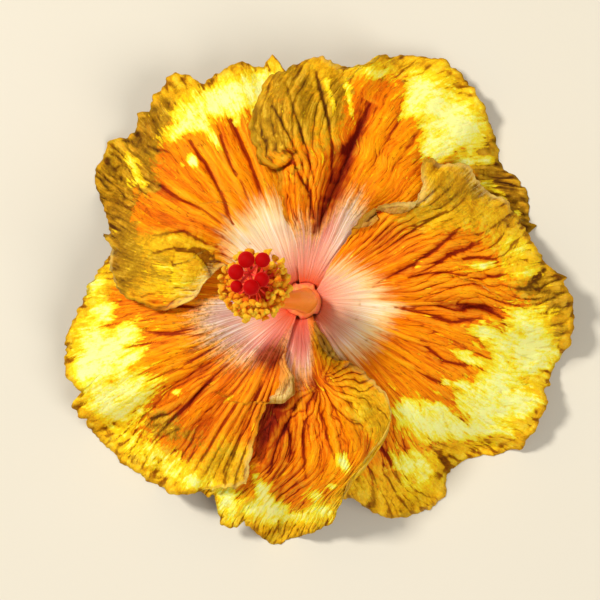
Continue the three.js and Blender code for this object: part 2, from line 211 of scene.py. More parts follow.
# ---- Petals -------------------------------------------------------------------------------------
# Five thin crinkled petals stand on a ring round the column and lie over each other like a
# pinwheel. Each is one skin that arches out of the throat and droops to the table in ruffles.
# Lengths are in mm from the throat and angles in degrees from the right, counter-clockwise.
claw_radius = 4.9
claw_foot = 11.5
dome_reach = 92
petal_spread = 1.025
ruffle_height = 4.4
frill_height = 1.7
petal_skin = 0.42
dome_profile = [
    (claw_radius, claw_foot), (5.6, 16.5), (7.3, 22), (12, 27.3), (20, 31),
    (34, 32.8), (50, 31), (64, 26.5), (78, 19.5), (dome_reach, 11),
]
layer_spacing = [(claw_radius, 1.15), (10, 1.25), (20, 1.9), (40, 3.6), (60, 4.6), (dome_reach, 4.8)]
sags = [  # x, y, length, width, direction, height
    (-72, 38, 24, 24, 60, -20),
    (-62, -54, 28, 25, 130, -22),
    (-8, -84, 24, 22, 0, -15),
    (56, -66, 30, 26, 45, -23.5),
    (76, 46, 28, 25, 115, -20),
    (-28, 78, 26, 16, 20, 2.5),
    (88, -8, 24, 18, 90, -2.5),
]

# The claw is the angle a petal stands at, and radial how far its crinkles run straight out instead
# of along its sides. Crinkle, lilac and bleached are strengths; lilac greys and darkens the eye, partly
# as the petal's own tint and partly as painted shade.
# The sides, low and high, give an angle by distance, and the margin and the eye a distance by angle.
# Turned says by distance how far the high side is folded back, or under where it is less than
# nothing, and curled says by angle how far the margin is.
# Nubs are small points on the margin: angle, rise and width. Mounds, rough, pleats and patches of
# colour are (x, y, length, width, direction, strength). Folds are a path, a width and a height, lips
# a path, a height and a reach, and fans (x, y, direction, height, reach, spread).
# Red patches are partly the petal's own deeper red and partly painted shade under folds and edges.
petals = {
    "petal_upper_left": dict(
        claw=137, rows=220, columns=290, seed=11, radial=0.75, lilac=0.12, bleached=0.5, crinkle=0.34,
        low=[(4.9, 98), (8, 94), (17, 85), (30, 84), (50, 85), (66, 89)],
        high=[
            (4.9, 176), (8, 170), (17, 160), (27, 157), (31, 167), (34, 177.5), (43, 183.5), (54, 179.6),
            (59, 176),
        ],
        margin=[
            (89, 64.5), (93, 70.5), (98, 80), (101, 77.5), (105, 80.5), (115, 78), (120, 85.5), (127, 81),
            (137, 79), (141, 83), (150, 79.5), (156, 71), (161, 66.5), (172, 62), (176, 59),
        ],
        nubs=[
            (117, 1.5, 0.9), (126, 1.8, 1), (129.3, -1.6, 0.8), (131.5, 2, 0.8), (162, 2.6, 0.6),
            (97.5, 1, 0.8),
        ],
        mounds=[
            (-46, 12, 16, 11, 15, 4.5), (-32, 17.5, 12, 3.5, 0, -2.2), (-19, 47, 18, 2.6, 112, -1.6),
            (-29, 42, 14, 2.6, 140, -1.4), (-31, 27, 18, 3, 155, 1.6),
        ],
        folds=[
            ([(-48, 38.5), (-41, 33.5), (-33, 30), (-20.7, 20.5)], 1.0, -1.4),
            ([(-24.5, 61), (-18, 47), (-11.5, 30)], 1.1, -1.6),
            ([(-38, 53), (-32.3, 45.3), (-26, 33), (-22.5, 24)], 1.1, -1.5),
            ([(-28, 55), (-25, 47), (-22, 40)], 0.9, -1.0),
            ([(-50, 15), (-42, 17), (-33, 16.2), (-27, 12)], 1.0, -0.6),
            ([(-50, 21), (-39, 22.5), (-30, 17.5)], 0.9, -0.6),
            ([(-43, 37.3), (-31, 29.5), (-17.5, 19)], 1.0, 0.9),
            ([(-31, 60), (-24, 42), (-16, 27)], 1.3, 0.8),
        ],
        turned=[(28, 0), (31, 0.9), (45, 0.9), (52, 0.6), (59, 0.3)],
        curled=[(88, 0), (150, 0), (160, 0.2), (176, 0.4)],
        lips=[([(-31.3, 2), (-30.3, 6.7), (-31.3, 9.5), (-33.3, 13), (-36, 15), (-42, 15.7)], 2.8, 13)],
        rough=[(-58, 42, 16, 11, 60, 0.2), (-47, 12, 19, 12, 0, -0.6), (-30, 40, 22, 16, 120, -0.1)],
        pleats=[],
        fans=[(-34, 4, 150, 0.35, 22, 1.2)],
        eye=[
            (84, 27), (100, 30), (112, 34), (125, 32), (135, 33), (148, 28), (156, 23), (165, 18),
            (176, 17),
        ],
        pale=[
            (-32.2, 63, 10, 5, 20, 1.3), (-20.7, 67.7, 10, 5.5, 20, 1.3), (-12.5, 69.5, 5, 5, 0, 1),
            (-40.3, 54.5, 6, 2.2, 30, 1.1), (-29, 51.7, 3.4, 1.5, 120, 1.2),
            (-35.7, 44.5, 2.2, 1.6, 0, 1.3), (-33.9, 56.2, 2.6, 2, 110, 1.2),
            (-56.3, 45.3, 5, 1.7, 125, 0.8), (-54, 38, 3, 1.7, 0, 0.8), (-22, 60, 2, 4, 20, 1),
            (-15, 62, 1.6, 5, 10, 1), (-41, 6, 9, 7, 0, 0.36),
        ],
        olive=[
            (-63, 29, 17, 8, 100, 1.4), (-54, 49, 12, 7, 50, 0.9), (-49, 58, 10, 5, 55, 1.1),
            (-61, 8, 12, 6, 95, 0.8), (-50, 39, 7, 4, 120, 0.7), (-30, 76, 12, 4, 20, 0.5),
            (-47, 10, 15, 8, 10, 0.5),
        ],
        gold=[(-46, 13, 18, 10, 0, 1.4), (-36, 5, 9, 9, 0, 0.9)],
        # The red patch at (-27, 12) is painted shade beside the lobe's raised edge.
        red=[
            (-49, 40, 9, 4, 120, 0.9), (-45, 52, 8, 4, 60, 0.4), (-27, 12, 4, 7, 10, 0.7),
            (-45, 23, 15, 6, 0, 0.55),
        ],
    ),
    "petal_top": dict(
        claw=65, rows=220, columns=290, seed=23, radial=0.25, lilac=0.4, bleached=0.5, crinkle=0.36,
        low=[(4.9, 26), (8, 30), (17, 34), (31, 30), (49, 22), (74, 6)],
        high=[
            (4.9, 103), (8, 100), (17, 97), (27, 102), (36, 101), (41, 99.5), (46, 106.5), (55.6, 106.4),
            (65, 102), (72, 98), (75, 93),
        ],
        margin=[
            (6, 74), (18, 79), (24, 82.5), (33, 80), (40, 84.5), (49, 89.5), (57, 92), (63, 89),
            (68, 83), (72, 78), (77, 76), (82, 79), (89, 74.5), (93, 72.5),
        ],
        nubs=[(17, 4, 0.7), (29, 1, 1), (36, 0.8, 1), (68.5, 1.6, 0.8)],
        mounds=[
            (-3, 57, 24, 11, 100, 6), (13, 45, 26, 4.5, 72, -4), (29, 58, 22, 7, 62, 1.8),
            (58, 40, 14, 8, 40, -1.8),
        ],
        folds=[
            ([(22.5, 66), (17, 53), (11.5, 39), (6.5, 28), (4, 21)], 2.6, -2.7),
            ([(-6, 72), (-2.5, 60), (1.5, 48), (4, 37), (5, 28)], 0.7, -0.7),
            ([(4, 76), (7.5, 62), (9.5, 50), (9, 38)], 0.8, -0.9),
            ([(-10, 64), (-5.5, 55), (-1, 46), (2.5, 36), (3.5, 26)], 0.7, -0.8),
            ([(-9, 42), (-4.5, 44.5), (-3.4, 47.5), (-7, 49)], 1.1, -1.5),
            ([(-3.5, 46), (-1.5, 41), (2, 35), (3, 26)], 1.1, -1.6),
            ([(-5, 38), (-4, 30), (0, 22)], 0.9, -0.8),
            ([(42, 62), (33, 48), (25, 37)], 1.8, -0.9),
            ([(50, 52), (38, 40), (28, 30)], 1.8, -0.9),
            ([(35, 66), (28, 53), (21, 41)], 1.8, -0.8),
        ],
        turned=[(24, 0), (30, 0.5), (40, -2.2), (46, -3.2), (60, -3), (70, -1.2), (75, -0.5)],
        curled=[(6, 0), (65, 0), (68, 1), (76, 0.8), (79, 0)],
        lips=[([(-16, 49), (-12.4, 44.4), (-9.3, 42.9), (-6.1, 44.1), (-3, 46.6)], 2.1, 6)],
        rough=[(-5, 60, 28, 14, 95, -0.4), (64, 42, 22, 9, -48, 0.15)],
        pleats=[(0, 60, 26, 14, 95, 0.62), (2, 34, 14, 7, 95, 0.4)],
        fans=[(-7.3, 44.2, 0, 0.4, 7, 1.0)],
        eye=[(26, 22), (45, 29), (58, 35), (64, 37), (70, 32), (76, 24), (90, 24.5), (103, 23)],
        pale=[
            (38.8, 67, 9, 6, 60, 1.2), (47.5, 61, 12, 7, -45, 1.2), (43, 52.5, 7, 4, 60, 1.2),
            (53, 58, 8, 6, 0, 1.0), (45.8, 48.6, 7, 2.6, 20, 1.1), (24, 74.5, 5, 3, 0, 0.9),
            (15, 63.3, 1.2, 7, 10, 0.9), (8.4, 67, 1.1, 5, 12, 0.7), (17, 77.4, 3, 2, 0, 0.9),
            (52.5, 45, 4.5, 1.6, 10, 1), (62.7, 38, 3.4, 1.5, -20, 1), (60, 46.5, 3, 1.8, 0, 1),
            (71, 28.5, 2.5, 1.5, 40, 1), (66, 33, 2.6, 1.3, 60, 0.9),
        ],
        olive=[
            (-3, 62, 27, 12, 95, 0.72), (66, 42, 20, 7, -48, 1.2), (74, 30, 12, 8, -60, 1.3),
            (-12, 52, 10, 6, 90, 0.6), (11, 65, 9, 6, 85, 0.7),
        ],
        gold=[(5, 62, 22, 14, 95, 0.8)],
        # The red patch at (10.5, 37) is painted shade along the deep fold beside the hood.
        red=[(10.5, 37, 21, 4.5, 72, 1.5), (20, 60, 12, 5, 70, 0.3), (1, 32, 14, 6, 100, 0.6)],
    ),
    "petal_right": dict(
        claw=-7, rows=215, columns=400, seed=37, radial=0.7, lilac=-0.15, bleached=0.15, crinkle=0.5,
        low=[(4.9, -52), (8, -70), (12, -80), (17, -84), (30, -87), (45, -90), (64, -91)],
        high=[
            (4.9, 32), (8, 42), (12, 50), (17, 54), (31, 54), (37, 50), (47, 40.5), (52, 43), (56, 47.5),
            (59.5, 49),
        ],
        margin=[
            (-91, 64), (-77, 66), (-71, 74), (-65, 79.5), (-55, 81), (-50, 74.5), (-44, 76), (-37, 84),
            (-30, 88), (-23, 87), (-20, 84.5), (-16, 86), (-5, 89), (1, 87.5), (10, 79), (17, 77),
            (26, 74), (32, 69.5), (39, 69), (44, 63), (49, 59.5),
        ],
        nubs=[(-34, 1.5, 1), (-19, 1.8, 0.7), (-9, 1, 0.8), (5.3, 2.5, 1), (-59, 0.8, 1)],
        mounds=[
            (28, 27, 13, 3, 18, 2.6), (30, 4, 22, 3, 3, 1.5), (32, -11, 22, 3, -25, 1.5),
            (48, -3, 18, 4, 0, -1.6), (33, 18, 18, 3, 40, -1.2), (46, 27, 18, 6, 38, 0.8),
            (34, -50, 22, 7, -55, 2.2),
        ],
        folds=[
            ([(50, -1.5), (58.7, -2.5), (64.8, -5.3), (69, -10)], 1.5, -1.6),
            ([(29, -2.5), (40.2, -4.5), (48.8, -7.3), (60, -6)], 1.4, -1.6),
            ([(22, 4), (35.3, 11.5), (44, 17), (52, 24)], 1.3, -1.4),
            ([(30, 5), (40.2, 9.5), (48.8, 15.1), (60, 19)], 1.2, -1.2),
            ([(52, 13.5), (58, 14.2), (65, 13)], 1.1, -1.5),
            ([(34, 7), (46, 9), (58, 7), (70, 9)], 1.1, -1.1),
            ([(36, -22), (42, -26), (49, -28.5)], 1.0, -1.0),
            ([(38, -13), (46, -20), (55, -22)], 1.0, -0.9),
            ([(40, -48), (46, -52), (49, -57), (46, -62)], 2.4, -2.0),
            ([(22, -42), (27, -50), (30, -56)], 1.5, -1.6),
            ([(20, -52), (23, -60), (24, -70)], 1.2, -1.2),
            ([(23, 24), (34, 29), (44, 36)], 0.8, -0.7),
            ([(24, 15), (36, 23), (48, 30)], 0.9, -0.9),
            ([(19, -1.2), (31, -1.6), (44, -1.2)], 0.9, 0.9),
            ([(18, -6), (29, -10.5), (41, -15)], 0.9, 0.9),
            ([(21, -13.5), (30, -19), (41, -24.5)], 0.8, 0.8),
            ([(20.5, 25), (23.6, 28), (27, 30)], 0.9, -1.6),
        ],
        turned=[
            (26, 0), (29, 3), (32, 5.2), (34.5, 4.6), (36.5, 1.4), (38.5, 4.6), (41, 4.8), (44, 3.6),
            (48, 1.4), (52, 0.5), (60, 0.4),
        ],
        curled=[(-91, 0.3), (-50, 0.3), (-20, 0.2), (5, 0.6), (49, 0.6)],
        lips=[],
        rough=[
            (48, 5, 24, 11, 5, 0.5), (50, 38, 16, 10, 20, -0.8), (26, -54, 14, 18, -60, 0.4),
            (74, 10, 10, 14, 0, 0.3), (34, -26, 16, 9, -40, -0.3),
        ],
        pleats=[(40, 30, 24, 12, 40, 0.42), (24, 22, 10, 7, 40, 0.5)],
        fans=[],
        eye=[
            (-91, 24), (-70, 24), (-50, 24), (-36, 25), (-28, 25.5), (-20, 27), (-12, 26), (-6, 31),
            (-3, 31), (1, 25.5), (8, 24.5), (20, 22), (35, 18), (54, 14),
        ],
        pale=[
            (72.2, -7, 7, 4, -30, 1.2), (70, -15.5, 13, 5, -20, 1.5), (77, -18, 6, 7, 0, 1.2),
            (58, -10.2, 4, 1.4, -10, 1.1), (57.4, 11, 7, 1.2, 3, 1.1), (53.7, -18.8, 6, 1.8, -25, 1.2),
            (45.1, -25.9, 2, 1, -20, 1), (50.7, -27.2, 3.4, 1.2, -10, 1.1),
            (62.3, -25.6, 8, 4.5, 30, 1.4), (66, -32.3, 8, 5, 0, 1.3), (72, -33.6, 6, 4, 0, 1.1),
            (56.8, -35.5, 10, 3.6, -30, 1.3), (43.9, -34.9, 5, 1.5, -20, 1.1),
            (32.8, -35.5, 3.5, 3, -45, 1.2), (39, -40.4, 8, 4.5, -40, 1.4),
            (47.6, -41, 11, 3.6, -20, 1.3), (60, -42.3, 10, 3, 0, 1.1), (35.3, -52.7, 7, 4, -20, 1.0),
            (40.2, -57.7, 2.6, 7, 30, 0.75), (36, -61, 4, 7, 20, 0.55), (70, 17, 6, 3.4, 0, 0.8),
            (72, 9, 7, 2.4, 0, 0.8), (79, -3, 5, 4, 0, 0.4),
        ],
        olive=[
            (50, 35, 26, 12, 12, 0.5), (77, 5, 9, 9, 0, 0.75), (16, -66, 14, 7, 0, 0.35),
            (50, -62, 6, 4, 30, 0.5), (84, -10, 6, 16, 0, 0.5),
        ],
        gold=[(50, 34, 24, 12, 20, 1.2), (28, -60, 22, 12, -20, 0.7)],
        # The red patch at (15, -15) tints the eye rosy where the anther head's shadow falls: painted shade.
        red=[
            (25, 19, 12, 6, 40, 0.6), (52, -3, 16, 4, -5, 0.7), (46, -55, 8, 6, -50, 0.3),
            (25, -44, 10, 4, -60, 0.8), (38, 13, 16, 5, 30, 0.5), (40, 2, 24, 20, 0, 0.22),
            (15, -15, 12, 7, -45, 0.45), (44, -20, 9, 4, -30, 0.4),
        ],
    ),
    "petal_bottom": dict(
        claw=-79, rows=220, columns=220, seed=53, radial=0.0, lilac=0.4, bleached=0.1, crinkle=0.7,
        low=[(4.9, -115), (6, -126), (12, -122), (17, -124), (50, -124), (70, -124)],
        high=[
            (4.9, -45), (6, -56), (10, -65), (14, -61), (18, -60.5), (21, -60), (25, -53.5), (30, -50),
            (40, -49), (45, -52), (52, -65), (56, -72), (61, -76.5), (67, -79.6),
        ],
        margin=[
            (-124, 70), (-114, 72), (-108, 79), (-104, 77), (-97, 82), (-91, 78), (-83, 74),
            (-79.6, 67),
        ],
        nubs=[(-110, 1.2, 1.2), (-105, -2, 0.8), (-114.5, -1.5, 0.9), (-88, 0.8, 0.8)],
        mounds=[
            (15, -35, 14, 10, -60, 4.2), (3, -30, 16, 3.2, -82, -2.4), (8, -56, 12, 6, -75, 2),
            (-10, -62, 14, 5, -105, -2),
        ],
        folds=[
            ([(4, -30), (7, -42), (11, -54)], 0.9, -0.8),
            ([(2, -32), (0, -45), (1, -60)], 1.1, -1.0),
            ([(-6, -40), (-4, -46), (-5, -54)], 1.2, -0.9),
            ([(-2, -34), (-8, -46), (-12, -58)], 1.2, -1.3),
            ([(-8, -29), (-11.5, -41), (-15, -54)], 2.4, -1.8),
        ],
        turned=[
            (8, 0), (9.5, 1.8), (12, 3.4), (16, 4.2), (20, 3.6), (23, 1.8), (26, 0.4), (34, 0.2),
            (67, 0.2),
        ],
        curled=[(-124, 0), (-104, 0.3), (-79.6, 0.2)],
        lips=[([(7, -27), (9, -33), (14, -38), (20, -40)], 0.9, 5)],
        rough=[(16, -33, 17, 14, -50, -0.7)],
        pleats=[(-4, -50, 16, 9, 80, 0.3)],
        fans=[(5.7, -26.7, -24, 1.35, 19, 1.15)],
        eye=[(-125, 22), (-100, 25), (-87, 25), (-81, 20), (-76, 8), (-60, 5), (-45, 5)],
        pale=[
            (12.7, -52, 3.6, 1.7, -60, 1.3), (4.4, -63.6, 2.4, 2.2, 0, 1.1), (9.3, -60, 1.7, 1.1, 0, 1),
            (6.2, -68.5, 4, 2, 0, 1.1), (-12.8, -63, 6.5, 2, -70, 1.4), (-10, -70, 5, 5, 0, 1.2),
            (-16, -68, 4, 3, 0, 1.1), (-25, -66, 3.6, 8, 5, 1.3), (0, -72, 10, 2.4, 0, 0.8),
        ],
        olive=[(26, -42, 18, 5, -70, 0.5), (8, -62, 12, 8, 0, 0.3), (-4, -78, 14, 4, 0, 0.45)],
        gold=[(22, -35, 19, 11, -50, 0.85), (7, -14, 7, 4, -60, 0.9)],
        # The red patches at (-9, -33) and (-12, -42) are painted shade under the curled tip and the edge
        # above.
        red=[
            (-5, -44, 12, 6, 80, 0.5), (-3, -46, 24, 14, 85, 0.3), (5, -28, 6, 5, 0, 0.9),
            (-1, -56, 14, 5, 90, 0.3), (-9, -33, 8, 4, 70, 1.9), (-1, -12, 9, 5, 90, 1.1),
            (-12, -42, 13, 4, 76, 1.5),
        ],
    ),
    "petal_lower_left": dict(
        claw=209, rows=215, columns=290, seed=71, radial=0.88, lilac=0.5, bleached=0.9, crinkle=0.42,
        low=[(4.9, 168), (8, 158), (17, 146), (27, 139), (40, 142), (50, 150), (62.5, 159)],
        high=[
            (4.9, 246), (8, 248), (14, 250), (18, 250), (20.5, 254), (24, 262), (28, 263.5), (31, 259.5),
            (33, 252), (35, 249.5), (51, 251), (62, 253),
        ],
        margin=[
            (159, 62.5), (169, 65.5), (181, 72), (189, 78), (196, 81.5), (203, 79), (206, 83.5),
            (214, 82), (227, 79.5), (237, 76), (243, 69), (253, 62),
        ],
        nubs=[(204.5, 2, 0.8), (209, -1.6, 0.8), (222, 0.8, 1), (176, 1, 1), (250, 0.8, 0.8)],
        mounds=[
            (-8, -25, 6, 4, 60, 2.6), (-50, -12, 22, 8, 195, 1.6), (-33, -22, 22, 4, 213, -2),
            (-22, -38, 24, 3.5, 240, 1.8), (-16, -40, 20, 2.4, 247, -1.4),
        ],
        folds=[
            ([(-13, -26), (-20, -42), (-27, -58)], 0.7, -0.8),
            ([(-10, -28), (-14.5, -43), (-20, -59)], 0.7, -0.8),
            ([(-17, -26), (-26, -40), (-34, -54)], 0.7, -0.9),
            ([(-24, -20), (-36, -32), (-46, -42)], 1.0, -1.1),
            ([(-26, -14), (-40, -22), (-52, -27)], 1.0, -0.9),
            ([(-30, -8), (-43, -11), (-55, -10)], 1.0, -0.9),
            ([(-33, -3), (-46, -1), (-58, 1)], 1.2, -1.2),
            ([(-40, -34), (-45, -38), (-52, -40)], 1.0, -1.0),
        ],
        turned=[
            (16, 0), (18.5, 2), (22, 5), (26, 6.6), (29.5, 6.4), (32, 4), (34, 1.6), (36, 0.6),
            (50, 0.4), (62, 0.3),
        ],
        curled=[(159, 0.3), (205, 0.3), (253, 0.6)],
        lips=[],
        rough=[(-36, -30, 17, 9, 45, 0.3), (-20, -44, 22, 13, 65, -0.5), (-54, -50, 20, 8, -35, 0.25)],
        pleats=[(-19, -43, 24, 13, 65, 0.95), (-42, -8, 14, 8, 15, 0.2)],
        fans=[],
        eye=[
            (139, 12), (160, 14), (172, 18), (180, 29), (190, 35), (200, 34), (212, 31), (222, 29),
            (230, 26), (238, 21), (250, 16), (261, 15),
        ],
        pale=[
            (-64.3, -3, 3.5, 3.5, 0, 1.3), (-57.5, -11.3, 7, 2.8, 35, 1.3), (-68.4, -12, 5, 7, 0, 1.2),
            (-63.8, -18.8, 10, 5, 25, 1.5), (-54.5, -18.5, 5, 1.5, 25, 1.1),
            (-56.3, -29.7, 9, 5.5, 20, 1.5), (-69.5, -22.3, 5, 8, 0, 1.2),
            (-65.5, -33.7, 4.5, 4.5, 0, 1.2), (-59.8, -37.7, 6, 2.6, 0, 1.1),
            (-67.2, 5.3, 5, 2.6, 45, 1.2), (-40.8, -29.7, 1.4, 0.8, 30, 1.1),
            (-53, -48, 12, 5, -40, 0.6), (-40, -57, 12, 4.5, -30, 0.6), (-28, -61, 8, 3, -15, 0.5),
        ],
        olive=[(-45, -41, 15, 5, -25, 0.75), (-20, -54, 14, 9, 0, 0.5), (-58, -52, 12, 2.5, -45, 0.4)],
        gold=[(-20, -54, 18, 10, 0, 0.8)],
        red=[
            (-26, -32, 26, 15, 50, 0.4), (-33, -29, 18, 6, 45, 0.6), (-48, 1, 14, 4, 0, 0.7),
            (-36, -40, 9, 5, 0, 0.2), (-20, -40, 12, 5, 60, 0.3), (-10, -22, 5, 6, 0, 0.7),
            (-8, -9, 9, 4, 50, 0.4), (-10, -17, 7, 4, 30, 1.3),
        ],
    ),
}


def through(points):
    """A smooth curve through points that doesn't overshoot them."""
    x, y = np.array(points, float).T
    slopes = np.diff(y) / np.diff(x)
    before, after = np.r_[slopes[0], slopes], np.r_[slopes, slopes[-1]]
    same = before * after > 0
    tangents = np.where(same, 2 * before * after / np.where(same, before + after, 1), 0)

    def curve(at):
        at = np.asarray(at, float)
        i = np.clip(np.searchsorted(x, at) - 1, 0, len(x) - 2)
        span = x[i + 1] - x[i]
        t = (at - x[i]) / span
        a, b, m, n = y[i], y[i + 1], tangents[i] * span, tangents[i + 1] * span
        inside = a + t * (m + t * (3 * (b - a) - 2 * m - n + t * (2 * (a - b) + m + n)))
        beyond = np.where(t <= 0, a + t * span * slopes[i], b + (t - 1) * span * slopes[i])
        return np.where((t <= 0) | (t >= 1), beyond, inside)

    return curve


def ease(value, low, high):
    t = np.clip((value - low) / (high - low), 0, 1)
    return t * t * (3 - 2 * t)


def blend(first, second, share):
    return first + (second - first) * share


def wander(x, y, seed):
    """Smooth random heights from -1 to 1, about one unit from bump to hollow."""
    x, y = np.broadcast_arrays(x, y)
    left, low = np.floor(x).astype(np.int64), np.floor(y).astype(np.int64)
    across, up = x - left, y - low

    def corner(i, j):
        n = ((left + i) * 374761393 + (low + j) * 668265263 + seed * 974634777) & 0xFFFFFFFF
        n = ((n ^ (n >> 13)) * 1274126177) & 0xFFFFFFFF
        way = (n ^ (n >> 16)) / 0xFFFFFFFF * math.tau
        return np.cos(way) * (across - i) + np.sin(way) * (up - j)

    s, t = (v * v * v * (v * (6 * v - 15) + 10) for v in (across, up))
    return 1.5 * blend(blend(corner(0, 0), corner(1, 0), s), blend(corner(0, 1), corner(1, 1), s), t)


def pillow(height):
    """Sharp creases where a height is nothing, and rounded pads between them."""
    return 1 - np.exp(-np.abs(height) / 0.2)


def swell(patches, x, y):
    """Soft oval mounds or patches, added up."""
    total = 0
    for middle_x, middle_y, length, width, direction, height in patches:
        c, s = math.cos(math.radians(direction)), math.sin(math.radians(direction))
        along = ((x - middle_x) * c + (y - middle_y) * s) / length
        aside = ((y - middle_y) * c - (x - middle_x) * s) / width
        total = total + height * np.exp(-(along * along + aside * aside))
    return total


def beside_path(path, x, y):
    """The distance from a path, more than nothing on its left, and how far on along it."""
    nearest, side, share = np.full(x.shape, 1e9), np.ones(x.shape), np.zeros(x.shape)
    for i, ((x0, y0), (x1, y1)) in enumerate(zip(path, path[1:])):
        long = (x1 - x0) ** 2 + (y1 - y0) ** 2
        t = np.clip(((x - x0) * (x1 - x0) + (y - y0) * (y1 - y0)) / long, 0, 1)
        away = np.hypot(x - x0 - t * (x1 - x0), y - y0 - t * (y1 - y0))
        left = np.sign((x1 - x0) * (y - y0) - (y1 - y0) * (x - x0))
        closer = away < nearest
        share = np.where(closer, (i + t) / (len(path) - 1), share)
        side = np.where(closer, left, side)
        nearest = np.minimum(nearest, away)
    return nearest * side, share


def fold_height(path, width, height, x, y):
    """A crease or ridge along a path, which fades out at both ends."""
    away, share = beside_path(path, x, y)
    fade = np.sqrt(np.clip(1 - (2 * share - 1) ** 2, 0, 1))
    return height * np.exp(-np.abs(away / width) ** 1.6) * fade


def lip_height(path, height, reach, x, y):
    """A fold that stands up on the left of a path, drops sharply at it and fades out behind it."""
    away, share = beside_path(path, x, y)
    fade = np.clip(1 - (2 * share - 1) ** 4, 0, 1)
    return height * fade * ease(away, -0.35, 0.45) * np.exp(-((np.maximum(away, 0) / reach) ** 1.5))


def fan_height(middle_x, middle_y, direction, height, reach, spread, x, y):
    """Fine creases that run out from a gathered spot over one side of it."""
    crease_count = 13
    out = np.hypot(x - middle_x, y - middle_y)
    turn = np.arctan2(y - middle_y, x - middle_x) - math.radians(direction)
    turn = (turn + math.pi) % math.tau - math.pi
    bent = turn + 0.2 * wander(x / 7, y / 7, 61) + 0.05 * wander(x / 2.5, y / 2.5, 63)
    creases = np.abs(np.sin(crease_count * bent)) ** 0.55
    between = np.abs(np.sin(2 * crease_count * bent + 1)) ** 0.55
    creases = creases + 0.55 * ease(out, 7, 13) * (between - 0.8)
    creases = creases * (0.8 + 0.6 * wander(bent * 4, out / 8, 62))
    fade = ease(out, 0.5, 4) * np.exp(-((out / reach) ** 4)) * np.exp(-((turn / (spread * 1.9)) ** 4))
    return height * (creases - 0.7) * fade


dome_height = through(dome_profile)
spacing = through(layer_spacing)


def on_dome(radius, angle, offset):
    """A point at an offset from the petals' common surface."""
    step = 0.05
    slope = (dome_height(radius + step) - dome_height(radius - step)) / (2 * step)
    lean = slope * (1 - ease(radius, 12, 20))
    length = np.hypot(lean, 1)
    out = radius - offset * lean / length
    a = np.radians(angle)
    return np.stack([out * np.cos(a), out * np.sin(a), dome_height(radius) + offset / length], axis=-1)


def ripple(radius, angle):
    """The ruffles of the margin, and the soft ribs that run out to it."""
    a = np.radians(angle)
    broad = np.clip((radius - 24) / 56, 0, 1.1) ** 1.7 * ruffle_height
    waves = 0.6 * np.sin(9 * a + 0.6) + 0.4 * np.sin(14 * a + 2.1) + 0.25 * np.sin(22 * a + 4)
    ribs = 0.55 * ease(radius, 6, 45) * np.sin(30 * a + 3 * np.sin(5 * a))
    return broad * waves + ribs


def roll(beyond, bend):
    """How far a sheet's edge runs on, and how high it rises, where it is turned back over itself."""
    round_bend = np.clip(beyond / bend, 0, math.pi)
    along = bend * np.sin(round_bend) - np.maximum(beyond - math.pi * bend, 0)
    rise = bend * (1 - np.cos(round_bend))
    return np.where(beyond > 0, along, beyond), np.where(beyond > 0, rise, 0)


def spread_out(heights, reach):
    """Heights evened out over a few neighbours on each side."""
    for axis in (0, 1):
        padded = np.concatenate(
            [np.take(heights, [0], axis)] * reach + [heights] + [np.take(heights, [-1], axis)] * reach, axis
        )
        total = np.cumsum(padded, axis)
        first = np.take(total, range(2 * reach, padded.shape[axis]), axis)
        last = np.take(total, range(0, padded.shape[axis] - 2 * reach), axis)
        heights = (first - last) / (2 * reach)
    return heights


